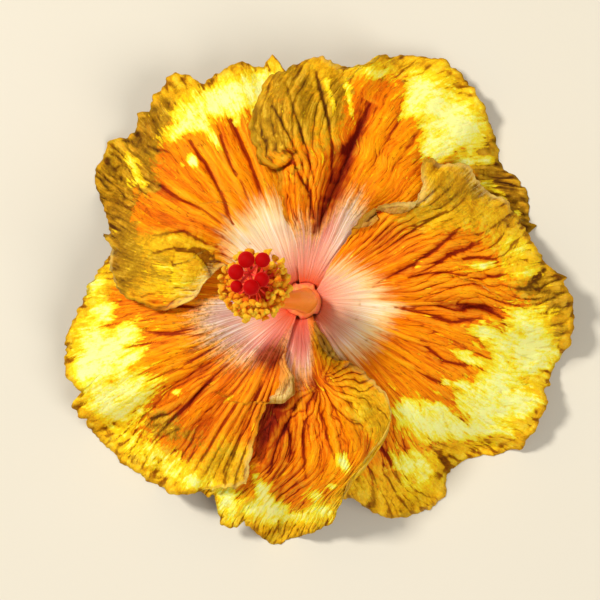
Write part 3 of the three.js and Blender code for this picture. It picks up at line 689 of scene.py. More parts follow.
def petal_points(petal):
    """The middle of a petal's skin in rows from claw to margin, and what its finish needs to know."""
    # The outline, in rows that lie evenly on the dome from the claw to the torn margin.
    low, high, margin = (through(petal[side]) for side in ("low", "high", "margin"))
    seed, claw = petal["seed"], petal["claw"]
    start, end = petal["margin"][0], petal["margin"][-1]
    profile = np.linspace(claw_radius, dome_reach, 500)
    length = np.r_[0, np.cumsum(np.hypot(np.diff(profile), np.diff(dome_height(profile))))]
    even = np.interp(np.linspace(0, length[-1], petal["rows"]), length, profile)
    reach = ((even - claw_radius) / (dome_reach - claw_radius))[:, None]
    share = np.linspace(0, 1, petal["columns"])[None, :]

    towards = blend(start[0], end[0], share)
    edge = margin(towards) * petal_spread
    edge = edge + sum(rise * np.exp(-(((towards - at) / wide) ** 2)) for at, rise, wide in petal["nubs"])
    edge = edge + 0.6 * wander(towards / 1.1, 0.5, seed) + 0.6 * wander(towards / 3.2, 0.5, seed + 1)
    curled = np.maximum(through(petal["curled"])(towards), 0)
    free_radius = blend(claw_radius, edge + curled, reach)
    beyond = free_radius - edge
    radius, rise = roll(beyond, 0.6)
    radius = radius + edge

    # The high side, turned over itself by a round bend.
    low_angle = low(blend(claw_radius, start[1], reach))
    high_angle = high(blend(claw_radius, end[1], reach))
    per_mm = np.degrees(1 / np.maximum(radius, 1))
    turned = through(petal["turned"])(blend(claw_radius, end[1], reach))
    turned = np.where(blend(claw_radius, end[1], reach) < petal["turned"][0][0], 0, turned)
    high_angle = high_angle + per_mm * ease(radius, 14, 30) * (
        0.45 * wander(radius / 2.4, 0.5, seed + 2) + 0.5 * wander(radius / 7, 0.5, seed + 3)
    )
    free_angle = blend(low_angle, high_angle, share) + per_mm * np.abs(turned) * share**7
    past = (free_angle - high_angle) / per_mm
    bend = np.where(turned < 0, 1.1, 0.62)
    along, side_rise = roll(past, bend)
    angle = high_angle + along * per_mm
    rise = rise + side_rise * np.sign(turned + 1e-9)

    # The broad form: its place in the pinwheel, ruffles, sags, mounds, folds and lips.
    a = np.radians(angle)
    x, y = radius * np.cos(a), radius * np.sin(a)
    from_margin = np.maximum(edge - radius, 0)
    from_side = np.maximum(high_angle - angle, 0) / per_mm
    from_edge = np.minimum(from_margin, from_side + 40 * (1 - ease(radius, 14, 26)))
    layer = spacing(radius) * (angle - claw) / 72
    frill = frill_height * np.exp(-from_margin / 8) * np.sin(np.radians(angle * 30 + claw))
    mounds = swell(petal["mounds"], x, y) * ease(radius, 6, 14)
    shape = ripple(radius, angle) + swell(sags, x, y) + mounds + frill
    folds = sum(fold_height(*fold, x, y) for fold in petal["folds"])
    folds = folds + sum(lip_height(*lip, x, y) for lip in petal["lips"])

    # Crinkles, pleats and fans that run along the petal, and drift from side to side.
    across = share * float(high(40) - low(40)) * (1 - petal["radial"]) + petal["radial"] * (angle - claw)
    drift = 2.4 * wander(across / 10, radius / 24, seed + 4)
    drift = drift + 0.9 * wander(across / 3.6, radius / 10, seed + 5)
    u = across + drift
    rough = swell(petal["rough"], x, y)
    strength = np.maximum(petal["crinkle"] + rough, 0.08) * ease(radius, 22, 46)
    wrinkles = 0.8 * pillow(wander(u / 3.6, radius / 20, seed + 6))
    wrinkles = wrinkles + 0.5 * pillow(wander(u / 1.9, radius / 11, seed + 7))
    finest = pillow(wander(u / 1.05 + drift, radius / 6.5, seed + 9))
    wrinkles = wrinkles + 0.3 * finest * ease(radius, 30, 55)
    wrinkles = strength * (wrinkles + 0.6 * wander(u / 6, radius / 30, seed + 8))
    pleat = 2.8
    line = across + 0.9 * wander(across / 9, radius / 30, seed + 16)
    line = line + 0.35 * wander(across / 3, radius / 12, seed + 17)
    groove = np.abs(np.sin(math.pi * line / pleat)) ** 0.7
    groove = groove * (0.75 + 0.5 * wander(line / pleat, radius / 40, seed + 18))
    groove = groove + 0.22 * pillow(wander(line / 0.9, radius / 22, seed + 19))
    wrinkles = wrinkles + swell(petal["pleats"], x, y) * (groove - 0.8)
    wrinkles = wrinkles + sum(fan_height(*fan, x, y) for fan in petal["fans"])
    ribs = 0.09 * ease(radius, 6, 14) * (1 - ease(radius, 34, 46))
    ribs = ribs * (wander(u / 1.9, radius / 45, seed + 15) + np.sin(np.radians(angle * 60 + 90 * drift)))

    # The worn fringe, and creases across the strip that is turned over.
    fringe = 1.5 * np.exp(-from_margin / 11) * wander(towards / 6.5, from_margin / 16, seed + 10)
    fringe = fringe + 0.9 * np.exp(-from_edge / 6) * wander(across / 2.6, radius / 5, seed + 11)
    fringe = fringe + 0.35 * np.exp(-from_edge / 3) * wander(across / 1.2, radius / 2.5, seed + 12)
    fringe = fringe * np.clip(1 + 1.1 * rough, 0.25, 1.5)
    rolled = ease(np.abs(side_rise), 0.3, 1.0)
    creased = rolled * (0.34 - 0.2 * petal["bleached"])
    fringe = fringe + creased * np.sin(past * 3.7 + 2 * wander(radius / 7, past / 4, seed + 20))
    fringe = fringe + creased * (pillow(wander(radius / 1.5, past / 5, seed + 21)) - 0.6)
    fine = folds + wrinkles + ribs + fringe
    offset = layer + shape + fine + rise

    points = on_dome(radius, angle, offset)
    loose = np.exp(-from_edge / 1.6) * ease(radius, 16, 30)
    points[..., 0] += 0.35 * loose * wander(x / 1.7, y / 1.7, seed + 13)
    points[..., 1] += 0.35 * loose * wander(x / 1.7, y / 1.7, seed + 14)

    # What the finish needs to know of each point.
    relief = shape + fine
    # Hollow and valley say how far a point lies below the crinkles or the form round it, for painted shade.
    hollow = np.clip((spread_out(fine, 4) - fine) / 0.22, -1, 1)
    valley = np.clip((spread_out(relief, 11) - relief) / 0.8, -1, 1)
    flat_x, flat_y = x / petal_spread, y / petal_spread
    patches = {name: swell(petal[name], flat_x, flat_y) for name in ("pale", "olive", "red", "gold")}
    patches["pale"] = 1.3 * (1 - np.exp(-patches["pale"] / 1.1))
    marks = {
        "radius": radius,
        "from_edge": from_edge,
        "hollow": hollow,
        "valley": valley,
        **patches,
        "eye": through(petal["eye"])(angle) - radius,
        "across": across + 0.35 * drift + claw,
        "lilac": np.full(x.shape, petal["lilac"]),
        "bleached": np.full(x.shape, petal["bleached"]),
        "turned_over": ease(past, 0.3, 1.6) * ease(np.abs(turned), 1, 2),
        "lapped": np.clip(past / 7, 0, 1.2),
    }
    return points, marks


def sheet(points, thickness, closed=False):
    """Both faces of a thin sheet about its middle, kept above the table, and its quads."""
    wrapped = np.concatenate([points[:, -1:], points, points[:, :1]], axis=1) if closed else points
    down, sideways = np.gradient(wrapped, axis=0), np.gradient(wrapped, axis=1)
    if closed:
        down, sideways = down[:, 1:-1], sideways[:, 1:-1]
    normal = np.cross(down, sideways)
    normal /= np.maximum(np.linalg.norm(normal, axis=-1, keepdims=True), 1e-12)
    half = normal * np.asarray(thickness)[..., None] / 2
    lift = np.maximum(0, np.abs(half[..., 2]) - points[..., 2])
    faces = []
    for way in (1, -1):
        face = points + way * half
        face[..., 2] = np.maximum(face[..., 2] + lift, 0)
        faces.append(face.reshape(-1, 3))
    rows, columns = points.shape[:2]
    number = np.arange(rows * columns).reshape(rows, columns)
    if closed:
        number = np.concatenate([number, number[:, :1]], axis=1)
    a, b, c, d = number[:-1, :-1], number[1:, :-1], number[1:, 1:], number[:-1, 1:]
    top = np.stack([a, b, c, d], axis=-1).reshape(-1, 4)
    under = rows * columns
    rims = [number[0, ::-1], number[-1]]
    if not closed:
        rims += [number[:, 0], number[::-1, -1]]
    rim = [np.stack([r[:-1], r[:-1] + under, r[1:] + under, r[1:]], axis=-1) for r in rims]
    return np.concatenate(faces), np.concatenate([top, top[:, ::-1] + under, *rim])


def add_piece(name, node, vertices, faces, material, marks=None):
    """A piece in mm from the throat, with smooth faces, put in the place of its node."""
    mesh = bpy.data.meshes.new(name)
    vertices = np.asarray(vertices) * 0.001 + np.array(throat)
    mesh.from_pydata(vertices.tolist(), [], [tuple(f) for f in faces])
    mesh.polygons.foreach_set("use_smooth", np.ones(len(mesh.polygons), bool))
    for mark, values in (marks or {}).items():
        layer = mesh.attributes.new(mark, "FLOAT", "POINT")
        layer.data.foreach_set("value", np.asarray(values, np.float32).ravel())
    mesh.materials.append(material)
    mesh.update()
    piece = bpy.data.objects.new(name, mesh)
    scene.collection.objects.link(piece)
    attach(piece, "root")
    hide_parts(node)


def petal_finish():
    finish = Finish(
        "crinkled_petal", 0.55, Specular_IOR_Level=0.06, Subsurface_Weight=0.3,
        Subsurface_Radius=(1.0, 0.4, 0.12), Subsurface_Scale=0.0015,
    )
    names = ("radius", "from_edge", "hollow", "valley", "side", "red", "bleached", "lapped")
    radius, from_edge, hollow, valley, side, red, bleached, lapped = (finish.mark(name) for name in names)
    sides = {"X": finish.mark("across"), "Y": radius, "Z": side * 3}
    flow = finish.node("CombineXYZ", {}, sides)
    place = finish.stretch(finish.place(), 1000, 1000, 1000)

    def drawn_out(across, along, detail, roughness, distortion=0.0):
        """A noise drawn out along the petal."""
        return finish.noise(finish.stretch(flow, across, along, 1), 1, detail, roughness, distortion)

    streaks = drawn_out(0.55, 0.045, 4, 0.6)
    fine_streaks = drawn_out(1.6, 0.16, 4, 0.6)
    mottle = drawn_out(0.9, 0.45, 4, 0.65)
    specks = finish.noise(place, 0.85, 4, 0.7)
    blotch = finish.noise(place, 0.17, 4, 0.62, 0.6)
    islands = drawn_out(0.42, 0.16, 3, 0.6, 0.5)

    # The streaky orange ground, deeper where the red patches are and a little darker in the valleys as
    # painted shade.
    tone = streaks * 0.75 + fine_streaks * 0.55 - 0.18 - red * 0.19 - valley * 0.08
    tint = finish.ramp(
        tone,
        (0.2, "BE4600"), (0.36, "E26C00"), (0.47, "F68600"),
        (0.6, "FF9E02"), (0.75, "FFB818"),
    )

    # The golden margin, and olive where it is worn, both a little darker in the hollows as painted shade.
    outer = (22 - from_edge + (mottle - 0.5) * 26).between(4, 16) * radius.between(44, 62)
    outer = (outer + (finish.mark("gold") + (mottle - 0.5) * 0.9).between(0.3, 0.9)).between(0, 1)
    gold = finish.ramp(
        blotch * 0.55 + specks * 0.3 + fine_streaks * 0.2 - hollow * 0.04 + finish.mark("pale") * 0.12,
        (0.36, "986606"), (0.45, "CA8E08"), (0.52, "E6A80E"),
        (0.59, "F8C41A"), (0.68, "FFE044"),
    )
    tint = finish.mix(outer, tint, gold)
    green = finish.mark("olive") + (mottle - 0.5) + (blotch - 0.5) * 1.6 + (specks - 0.5) * 0.5
    green = green.between(0.3, 0.7)
    olive = finish.ramp(
        blotch * 0.4 + fine_streaks * 0.35 + specks * 0.25 - hollow * 0.09,
        (0.34, "664200"), (0.45, "8C6204"),
        (0.54, "B0800A"), (0.66, "DCAE2C"),
    )
    darker = finish.mix(1.0, olive, "C0A070", "MULTIPLY")
    olive = finish.mix(finish.mark("olive").between(0.9, 1.6) * 0.6, olive, darker)
    tint = finish.mix(green * 0.94, tint, olive)

    # Splashes of yellow, palest in their middle.
    splash = finish.mark("pale") * 1.1 + (fine_streaks - 0.5) * 1.2
    splash = splash + (mottle - 0.5) * 0.9 + (islands - 0.48) * 1.9
    tint = finish.mix(splash.between(0.38, 0.54), tint, "F8C80C")
    tint = finish.mix(splash.between(0.55, 0.85), tint, "FFE838")
    tint = finish.mix((splash + (specks - 0.5) * 1.2).between(0.75, 1.3), tint, "FFF896")

    # The eye: coral at the throat, then pink and cream, pinker in the red patches, with veins, ribs and
    # dots, and lilac-grey patches that are partly the petal's own tint and partly painted shade.
    ray = drawn_out(0.4, 0.03, 3, 0.6)
    inside = finish.mark("eye") + (ray - 0.5) * 20 + (fine_streaks - 0.5) * 11 + (mottle - 0.5) * 6
    eye = finish.ramp(
        radius / 40 + (streaks - 0.5) * 0.3 + 0.08 - finish.mark("lilac") * 0.25,
        (0.1, "FF6E36"), (0.18, "F6855C"), (0.3, "F2A084"),
        (0.5, "F4BC96"), (0.7, "F8D6A6"),
    )
    shade = finish.noise(place, 0.06, 2)
    lilac = radius.between(14, 26) * (shade + finish.mark("lilac") - 0.5).between(0.1, 0.6)
    eye = finish.mix(lilac * 0.8, eye, finish.mix(mottle, "A87270", "C29484"))
    eye = finish.mix(red.between(0.05, 1.0) * 0.6, eye, "DA5A50")
    vein = abs(drawn_out(0.75, 0.02, 1, 0.4) - 0.5).between(0.035, 0.0)
    eye = finish.mix(vein * 0.55 * radius.between(36, 12), eye, "C8402C")
    rib = abs(drawn_out(0.5, 0.012, 1, 0.4) - 0.47).between(0.05, 0.0)
    eye = finish.mix(rib * 0.6 * radius.between(10, 24), eye, "FFF0DC")
    tint = finish.mix(inside.between(-6, 3), tint, finish.mix(0.5, eye, "FFC44C"))
    tint = finish.mix(inside.between(-1, 6), tint, eye)
    dots = inside.between(-12, -4) * inside.between(9, 1) * (fine_streaks + specks).between(1.02, 0.88)
    tint = finish.mix(dots * 0.7 * finish.mark("lilac").between(0.2, 0.55), tint, "7E5A1C")

    # Fine dark lines, the lighter underside, and the worn strips that are turned over.
    pale = splash.between(0.45, 0.7)
    etch = abs(drawn_out(0.9, 0.075, 2, 0.5, 0.4) - 0.5).between(0.03, 0.0)
    etch = etch * radius.between(26, 42) * mottle.between(0.4, 0.6) * (1 - pale) * (1 - outer * 0.8)
    tint = finish.mix(etch * 0.75, tint, "823400")
    under = finish.mix(inside.between(-2, 5), "E2A850", "F0C8A0")
    tint = finish.mix(side * 0.42, tint, under)
    worn = finish.mix(bleached * fine_streaks.between(0.38, 0.54), "A4741A", "F2D88C")
    # Dark lines across the turned strips are painted shade of their creases.
    creases = (lapped * 20 + streaks * 6).wave().between(0.45, 0.95)
    worn = finish.mix(creases * 0.5, worn, "6E4A10")
    fresh = lapped * 1.3 - (radius - 24) / 8 + (fine_streaks - 0.5) * 2
    worn = finish.mix(fresh.between(0.0, 0.8) * bleached.between(0.6, 0.85), worn, tint)
    tint = finish.mix(side * finish.mark("turned_over") * 0.75, tint, worn)

    # Painted shade darkens the folds and hollows, a painted highlight lightens the crests, and the
    # strongest red patches, partly the petal's own red and partly painted shade, deepen to crimson, more
    # so in the valleys.
    fold_shade_tint = finish.mix((outer + green).between(0, 0.8), "A0562A", "A07E48")
    fold_shade_tint = finish.mix((pale + inside.between(-2, 4)).between(0, 0.8), fold_shade_tint, "CDB27C")
    fold = (hollow * (0.9 - pale * 0.4) + valley * 0.3 * (1 - pale)).between(0.08, 1.1)
    fold = fold * (1 - side * 0.4)
    tint = finish.mix(fold * 0.95, tint, finish.mix(1.0, tint, fold_shade_tint, "MULTIPLY"))
    crest_highlight = hollow.between(-0.1, -0.9) * (1 - pale) * inside.between(4, -4) * (1 - side)
    tint = finish.mix(crest_highlight * 0.3, tint, "FFB420")
    crimson_and_shade = (red + valley * 0.5 * red.between(0, 0.5)).between(0.6, 1.9)
    tint = finish.mix(crimson_and_shade * 0.85, tint, finish.mix(1.0, tint, "A0401C", "MULTIPLY"))

    # A dry brown rim, or a cream feathered one where the petal is gold.
    rim = finish.mix(finish.mark("gold").between(0.2, 0.8), "96700C", "F0CC70")
    tint = finish.mix(from_edge.between(1.4, 0.1) * 0.55, tint, rim)
    feathered = from_edge.between(4.5, 0.5) * (fine_streaks + specks * 0.4).between(0.68, 0.76)
    feathered = feathered * finish.mark("gold").between(0.6, 1.2)
    tint = finish.mix(feathered * 0.7, tint, "F0D480")

    net = finish.node(
        "TexVoronoi", {"feature": "DISTANCE_TO_EDGE"},
        {"Vector": finish.stretch(flow, 0.75, 0.3, 1), "Scale": 1.0, "Randomness": 1.0},
    )
    grain = drawn_out(3.4, 1.1, 4, 0.65)
    relief = grain * 0.7 + net.between(0, 0.16) * 0.35 * radius.between(24, 40)
    return finish.coat(tint, relief, 0.00022, roughness=0.48 + specks * 0.2)


petal_material = petal_finish()
for node, petal in petals.items():
    points, marks = petal_points(petal)
    skin = np.full(points.shape[:2], petal_skin)
    vertices, faces = sheet(points, skin)
    both = {mark: np.tile(np.broadcast_to(value, skin.shape).ravel(), 2) for mark, value in marks.items()}
    both["side"] = np.repeat([0.0, 1.0], skin.size)
    add_piece(node + "_skin", node, vertices, faces, petal_material, both)

# ---- Staminal column ----------------------------------------------------------------------------
# The stamens are grown together into one fleshy tube round the style. It leans to the upper left
# and carries a brush of thin red stalks, each with a yellow bean-shaped anther full of pollen.
column_path = [
    (0, 0, 11.5), (0.1, 0, 20), (0.6, -0.3, 27), (0, -0.2, 34), (-2.8, 0, 42.5), (-7.8, 0.3, 51),
    (-12.6, 2.2, 60.5), (-15.8, 5.6, 70),
]
column_girth = [
    (0, 3.5), (0.06, 3.9), (0.1, 4.2), (0.16, 4.2), (0.26, 4.1), (0.34, 3.9), (0.43, 3.5), (0.55, 3),
    (0.75, 2.3), (1, 1.9),
]
bore_girth = [(0, 2.3), (0.1, 2.2), (0.2, 1.05), (1, 1.05)]
column_steps, column_sides = 90, 40
collar_overlap = 0.32
stamen_count = 270
filament_steps, filament_sides = 7, 6


def smooth_path(knots, steps):
    """Even points along a smooth line through knots."""
    knots = np.array(knots, float)
    ends = np.concatenate([[2 * knots[0] - knots[1]], knots, [2 * knots[-1] - knots[-2]]])
    t = np.linspace(0, 1, 12, endpoint=False)[:, None]
    line = []
    for p, q, r, s in zip(ends, ends[1:], ends[2:], ends[3:]):
        cubic = 2 * q + (r - p) * t + (2 * p - 5 * q + 4 * r - s) * t**2 + (3 * q - p - 3 * r + s) * t**3
        line.extend(0.5 * cubic)
    line = np.array([*line, knots[-1]])
    gone = np.r_[0, np.cumsum(np.linalg.norm(np.diff(line, axis=0), axis=1))]
    even = np.linspace(0, gone[-1], steps)
    return np.stack([np.interp(even, gone, line[:, i]) for i in range(3)], axis=-1)


def frames_along(path):
    """Which way is right, up and ahead at each step of a path."""
    ahead = np.gradient(path, axis=0)
    ahead /= np.linalg.norm(ahead, axis=1, keepdims=True)
    hint = np.array([0, 1.0, 0]) if abs(ahead[0][1]) < 0.8 else np.array([1.0, 0, 0])
    right = np.cross(hint, ahead)
    right /= np.linalg.norm(right, axis=1, keepdims=True)
    return right, np.cross(ahead, right), ahead


def ring_grid(steps, sides):
    """The numbers of the points on rings, each closed by its first point, and the quads between."""
    number = np.arange(steps * sides).reshape(steps, sides)
    number = np.concatenate([number, number[:, :1]], axis=1)
    quads = np.stack([number[:-1, :-1], number[:-1, 1:], number[1:, 1:], number[1:, :-1]], axis=-1)
    return number, quads.reshape(-1, 4)


def tube(path, girth, sides, capped=True):
    """A round skin along a path; girth is one number per step, or one per step and side."""
    right, up, _ = frames_along(path)
    a = np.linspace(0, math.tau, sides, endpoint=False)
    girth = np.broadcast_to(np.asarray(girth, float).reshape(len(path), -1), (len(path), sides))
    ring = right[:, None] * np.cos(a)[None, :, None] + up[:, None] * np.sin(a)[None, :, None]
    vertices = (path[:, None] + ring * girth[..., None]).reshape(-1, 3)
    number, quads = ring_grid(len(path), sides)
    faces = [tuple(q) for q in quads]
    if capped:
        faces += [tuple(number[0, :-1][::-1]), tuple(number[-1, :-1])]
    return vertices, faces


def gather(parts):
    """Several meshes as one, with a number for each point that says which part it came from."""
    vertices, faces, owner = [], [], []
    for i, (points, quads) in enumerate(parts):
        start = sum(len(v) for v in vertices)
        vertices.append(points)
        faces += [tuple(int(n) + start for n in f) for f in quads]
        owner.append(np.full(len(points), i, float))
    return np.concatenate(vertices), faces, np.concatenate(owner)


def ball(fineness):
    """A round ball one unit in radius, of even triangles."""
    shape = bmesh.new()
    bmesh.ops.create_icosphere(shape, subdivisions=fineness, radius=1)
    vertices = np.array([v.co[:] for v in shape.verts])
    faces = [tuple(v.index for v in f.verts) for f in shape.faces]
    shape.free()
    return vertices, faces


def column_finish():
    finish = Finish(
        "fleshy_column", 0.24, Specular_IOR_Level=0.35, Subsurface_Weight=0.5,
        Subsurface_Radius=(1.0, 0.4, 0.12), Subsurface_Scale=0.003,
    )
    height = finish.mark("along")
    lines = finish.noise(finish.stretch(finish.place(), 900, 900, 120), 1, 3)
    # Coral at the foot, a light peach band round the collar, partly painted highlight, then orange.
    tint = finish.ramp(
        height + (lines - 0.5) * 0.15,
        (0.0, "F8704C"), (0.14, "F87E5A"), (0.175, "FFA85C"),
        (0.23, "FF9A28"), (0.8, "FF7428"),
    )
    # Painted highlight lightens the raised lines along the tube.
    tint = finish.mix(lines.between(0.6, 0.8) * 0.4, tint, "FFB060")
    return finish.coat(tint, relief=lines, depth=0.0002)


def filament_finish():
    finish = Finish("stamen_stalks", 0.4, Subsurface_Weight=0.1, Subsurface_Scale=0.0005)
    tint = finish.ramp(
        finish.mark("along"), (0.0, "FF5A1C"), (0.6, "EC3010"), (1.0, "FF6624")
    )
    return finish.coat(tint, relief=finish.noise(finish.place(), 3000, 2), depth=0.00004)


def anther_finish():
    finish = Finish(
        "pollen_anthers", 0.7, Specular_IOR_Level=0.15, Subsurface_Weight=0.6,
        Subsurface_Radius=(1, 0.45, 0.1), Subsurface_Scale=0.0012,
    )
    grains = finish.node(
        "TexVoronoi", {"feature": "F1"}, {"Vector": finish.place(), "Scale": 3600, "Randomness": 0.8}
    )
    patchy = finish.noise(finish.place(), 420, 3)
    # Anthers deeper in the brush, where the others shade them, are tinted redder as painted shade.
    tint = finish.ramp(
        patchy + (finish.mark("kind") - 0.5) * 0.7,
        (0.22, "F05A0C"), (0.38, "FF860A"),
        (0.54, "FFA40E"), (0.76, "FFC42A"),
    )
    tint = finish.mix(grains.between(0.35, 0.7) * 0.25, tint, "D86404")
    return finish.coat(tint, relief=1 - grains, depth=0.00022)


def throat_width(angle, height):
    """How far the innermost petal stands from the middle of the throat."""
    rising_radius, rising_height = np.array(dome_profile[:6]).T
    radius = np.interp(height, rising_height, rising_radius)
    inward = np.full(np.shape(angle), -1.0)
    for petal in petals.values():
        past = (angle - petal["claw"] + 180) % 360 - 180
        low, high = (through(petal[side])(radius) - petal["claw"] for side in ("low", "high"))
        covered = (past > low - 9) & (past < high + 9)
        inward = np.where(covered, np.maximum(inward, spacing(radius) * past / 72), inward)
    return radius - inward


def column_piece():
    """The hollow tube, with a foot that widens into a collar grown to the petals' claws."""
    path = smooth_path(column_path, column_steps)
    along = np.linspace(0, 1, len(path))[:, None]
    a = np.linspace(0, math.tau, column_sides, endpoint=False)[None, :]
    outside = through(column_girth)(along) * (1 + 0.035 * np.cos(5 * a + 2 * along))
    outside = outside + 0.06 * wander(a * 4, along * 30, 5)
    outside = outside + 0.5 * np.exp(-(((along - 0.36) / 0.05) ** 2)) * np.maximum(np.cos(a - 0.6), 0)
    inside = np.broadcast_to(through(bore_girth)(along), outside.shape)
    skin, faces = tube(path, outside, column_sides, capped=False)
    width, turn = np.hypot(skin[:, 0], skin[:, 1]), np.degrees(np.arctan2(skin[:, 1], skin[:, 0]))
    foot = ease(skin[:, 2], 13, 18) * (1 - ease(skin[:, 2], 19.5, 23.5))
    collar = throat_width(turn, skin[:, 2]) - collar_overlap
    wider = blend(width, np.maximum(collar, width), foot)
    skin[:, :2] *= (wider / width)[:, None]
    bore, bore_faces = tube(path, inside, column_sides, capped=False)
    count = len(skin)
    faces = faces + [tuple(n + count for n in f[::-1]) for f in bore_faces]
    for first, way in ((0, 1), (count - column_sides, -1)):
        rim = [first + i for i in range(column_sides)] + [first]
        for p, q in zip(rim, rim[1:]):
            faces.append((p, p + count, q + count, q)[::way])
    marks = {"along": np.tile(np.repeat(along.ravel(), column_sides), 2)}
    return np.concatenate([skin, bore]), faces, marks


rng = np.random.default_rng(7)
vertices, faces, marks = column_piece()
add_piece("staminal_tube", "staminal_column", vertices, faces, column_finish(), marks)

column = smooth_path(column_path, 200)
right, up, ahead = frames_along(column)
round_ball, ball_faces = ball(3)
filaments, anthers, depth = [], [], []
for i in range(stamen_count):
    share = blend(0.8, 0.995, i / (stamen_count - 1))
    spot = int(share * (len(column) - 1))
    a = i * math.pi * (3 - math.sqrt(5)) + 0.5 * (rng.random() - 0.5)
    out = right[spot] * math.cos(a) + up[spot] * math.sin(a)
    reach = (5.6 + 5 * rng.random() ** 0.8) * blend(0.74, 1.04, ease(share, 0.8, 0.9))
    lead = 0.8 + 2.6 * rng.random()
    root = column[spot] + out * (through(column_girth)(share) - 0.4)
    tip = column[spot] + out * reach + ahead[spot] * lead
    sway = rng.normal(0, 0.5, 3)
    middle = 0.5 * (root + tip) - ahead[spot] * 0.35 * lead + sway
    path = smooth_path([root, middle, tip], filament_steps)
    filaments.append(tube(path, np.linspace(0.24, 0.15, filament_steps), filament_sides))
    bean = round_ball * np.array([1.4, 0.95, 0.8]) * (0.85 + 0.3 * rng.random())
    bean = bean * (1 - 0.28 * np.exp(-((round_ball[:, 1:2] / 0.28) ** 2)) * (round_ball[:, 2:3] > -0.2))
    bean[:, 2] -= 0.35 * bean[:, 0] ** 2
    lumps = wander(round_ball[:, 0] * 4 + i, round_ball[:, 1] * 4 + round_ball[:, 2] * 3, 3)
    bean = bean * (1 + 0.1 * lumps[:, None])
    axes, _ = np.linalg.qr(rng.normal(size=(3, 3)))
    if np.linalg.det(axes) < 0:
        axes[:, 0] *= -1
    anthers.append((bean @ axes.T + tip, ball_faces))
    # How deep the anther sits, which its finish turns into a redder painted shade.
    depth.append((reach - 4) / 6)
vertices, faces, _ = gather(filaments)
along = np.tile(np.repeat(np.linspace(0, 1, filament_steps), filament_sides), stamen_count)
add_piece("stamen_filaments", "staminal_column", vertices, faces, filament_finish(), {"along": along})
vertices, faces, owner = gather(anthers)
kind = (0.6 * np.array(depth) + 0.4 * rng.random(stamen_count))[owner.astype(int)]
add_piece("pollen_anthers", "staminal_column", vertices, faces, anther_finish(), {"kind": kind})

# ---- Pistil -------------------------------------------------------------------------------------
# The ovary sits in the foot of the column and sends one thin style up its bore. Above the stamens
# the style forks into red branches, each with a round velvety pad that catches pollen.
fork = np.array([-16.5, 8.4, 74.6])
pads = [  # x, y, height, radius
    (-17.5, 12.4, 79.2, 2.6), (-12.5, 12.3, 78.8, 2.35), (-20.7, 8.6, 78.4, 2.45),
    (-20.6, 4.2, 77.2, 1.9), (-16.0, 3.9, 79.4, 2.5), (-12.8, 6.3, 77.6, 2.35),
]
style_girth = [(0, 1.9), (0.07, 1.7), (0.16, 0.6), (1, 0.6)]
style_steps, branch_steps = 80, 14


def style_finish():
    finish = Finish("red_style", 0.4, Subsurface_Weight=0.1, Subsurface_Scale=0.0006)
    blotch = finish.noise(finish.place(), 700, 3)
    tint = finish.mix(blotch, "E8201C", "F0503C")
    return finish.coat(tint, relief=blotch, depth=0.0001)


def stigma_finish():
    finish = Finish("velvet_stigma", 0.6, Specular_IOR_Level=0.06)
    nap = finish.noise(finish.place(), 5200, 3, 0.7)
    # A pale pink band low round each pad, seen as its rim, is painted sheen; higher up it is deeper red.
    tint = finish.ramp(
        finish.mark("crown"), (0.1, "E8503C"), (0.3, "C40408"), (0.8, "A80000")
    )
    tint = finish.mix((nap - 0.5).between(0, 0.3) * 0.2, tint, "C81018")
    return finish.coat(tint, relief=nap, depth=0.00005)


style_path = smooth_path([*column_path, tuple(fork)], style_steps)
parts = [tube(style_path, through(style_girth)(np.linspace(0, 1, style_steps)), 14)]
for x, y, z, radius in pads:
    knee = np.array([(x + 2 * fork[0]) / 3, (y + 2 * fork[1]) / 3, fork[2] + 1.6])
    branch = smooth_path([fork - np.array([0, 0, 0.3]), knee, (x, y, z)], branch_steps)
    parts.append(tube(branch, np.linspace(0.5, 0.42, branch_steps), 10))
vertices, faces, _ = gather(parts)
add_piece("style_and_branches", "pistil", vertices, faces, style_finish())

velvet, velvet_faces = ball(5)
pad_parts, crown = [], []
for i, (x, y, z, radius) in enumerate(pads):
    nap = 1 + 0.02 * wander(velvet[:, 0] * 9 + i * 7, velvet[:, 1] * 9 + velvet[:, 2] * 5, 17)
    pad = velvet * np.array([1, 1, 0.85]) * nap[:, None] * radius
    pad_parts.append((pad + np.array([x, y, z]), velvet_faces))
    crown.append(velvet[:, 2])
vertices, faces, _ = gather(pad_parts)
add_piece("stigma_pads", "pistil", vertices, faces, stigma_finish(), {"crown": np.concatenate(crown)})

# ---- Calyx --------------------------------------------------------------------------------------
# A downy green cup with five pointed lobes, grown in one piece, holds the petals' claws and hugs
# their undersides. It is hidden from above.
calyx_floor = [(2.5, 7.8), (4.4, 8.1), (6.1, 9.1)]
calyx_wall = 0.7
lobe_tip, lobe_notch = 8.2, 17


def green_finish(name, light, dark, downy):
    finish = Finish(name, 0.6, Sheen_Weight=0.3, Specular_IOR_Level=0.35)
    place = finish.stretch(finish.place(), 1000, 1000, 1000)
    blotch = finish.noise(place, 0.35, 3)
    down = finish.noise(finish.stretch(place, 1, 1, 0.35), 3.2, 4, 0.7)
    lines = abs(finish.noise(finish.mark("rib"), 1.6, 2) - 0.5).between(0.05, 0)
    tint = finish.mix(blotch.between(0.3, 0.7), dark, light)
    tint = finish.mix(lines * 0.45, tint, "C8D08C")
    tint = finish.mix(down.between(0.5, 0.8) * downy, tint, "DCE0B4")
    return finish.coat(tint, down + lines * 0.4, 0.00018, roughness=0.5 + down * 0.25)


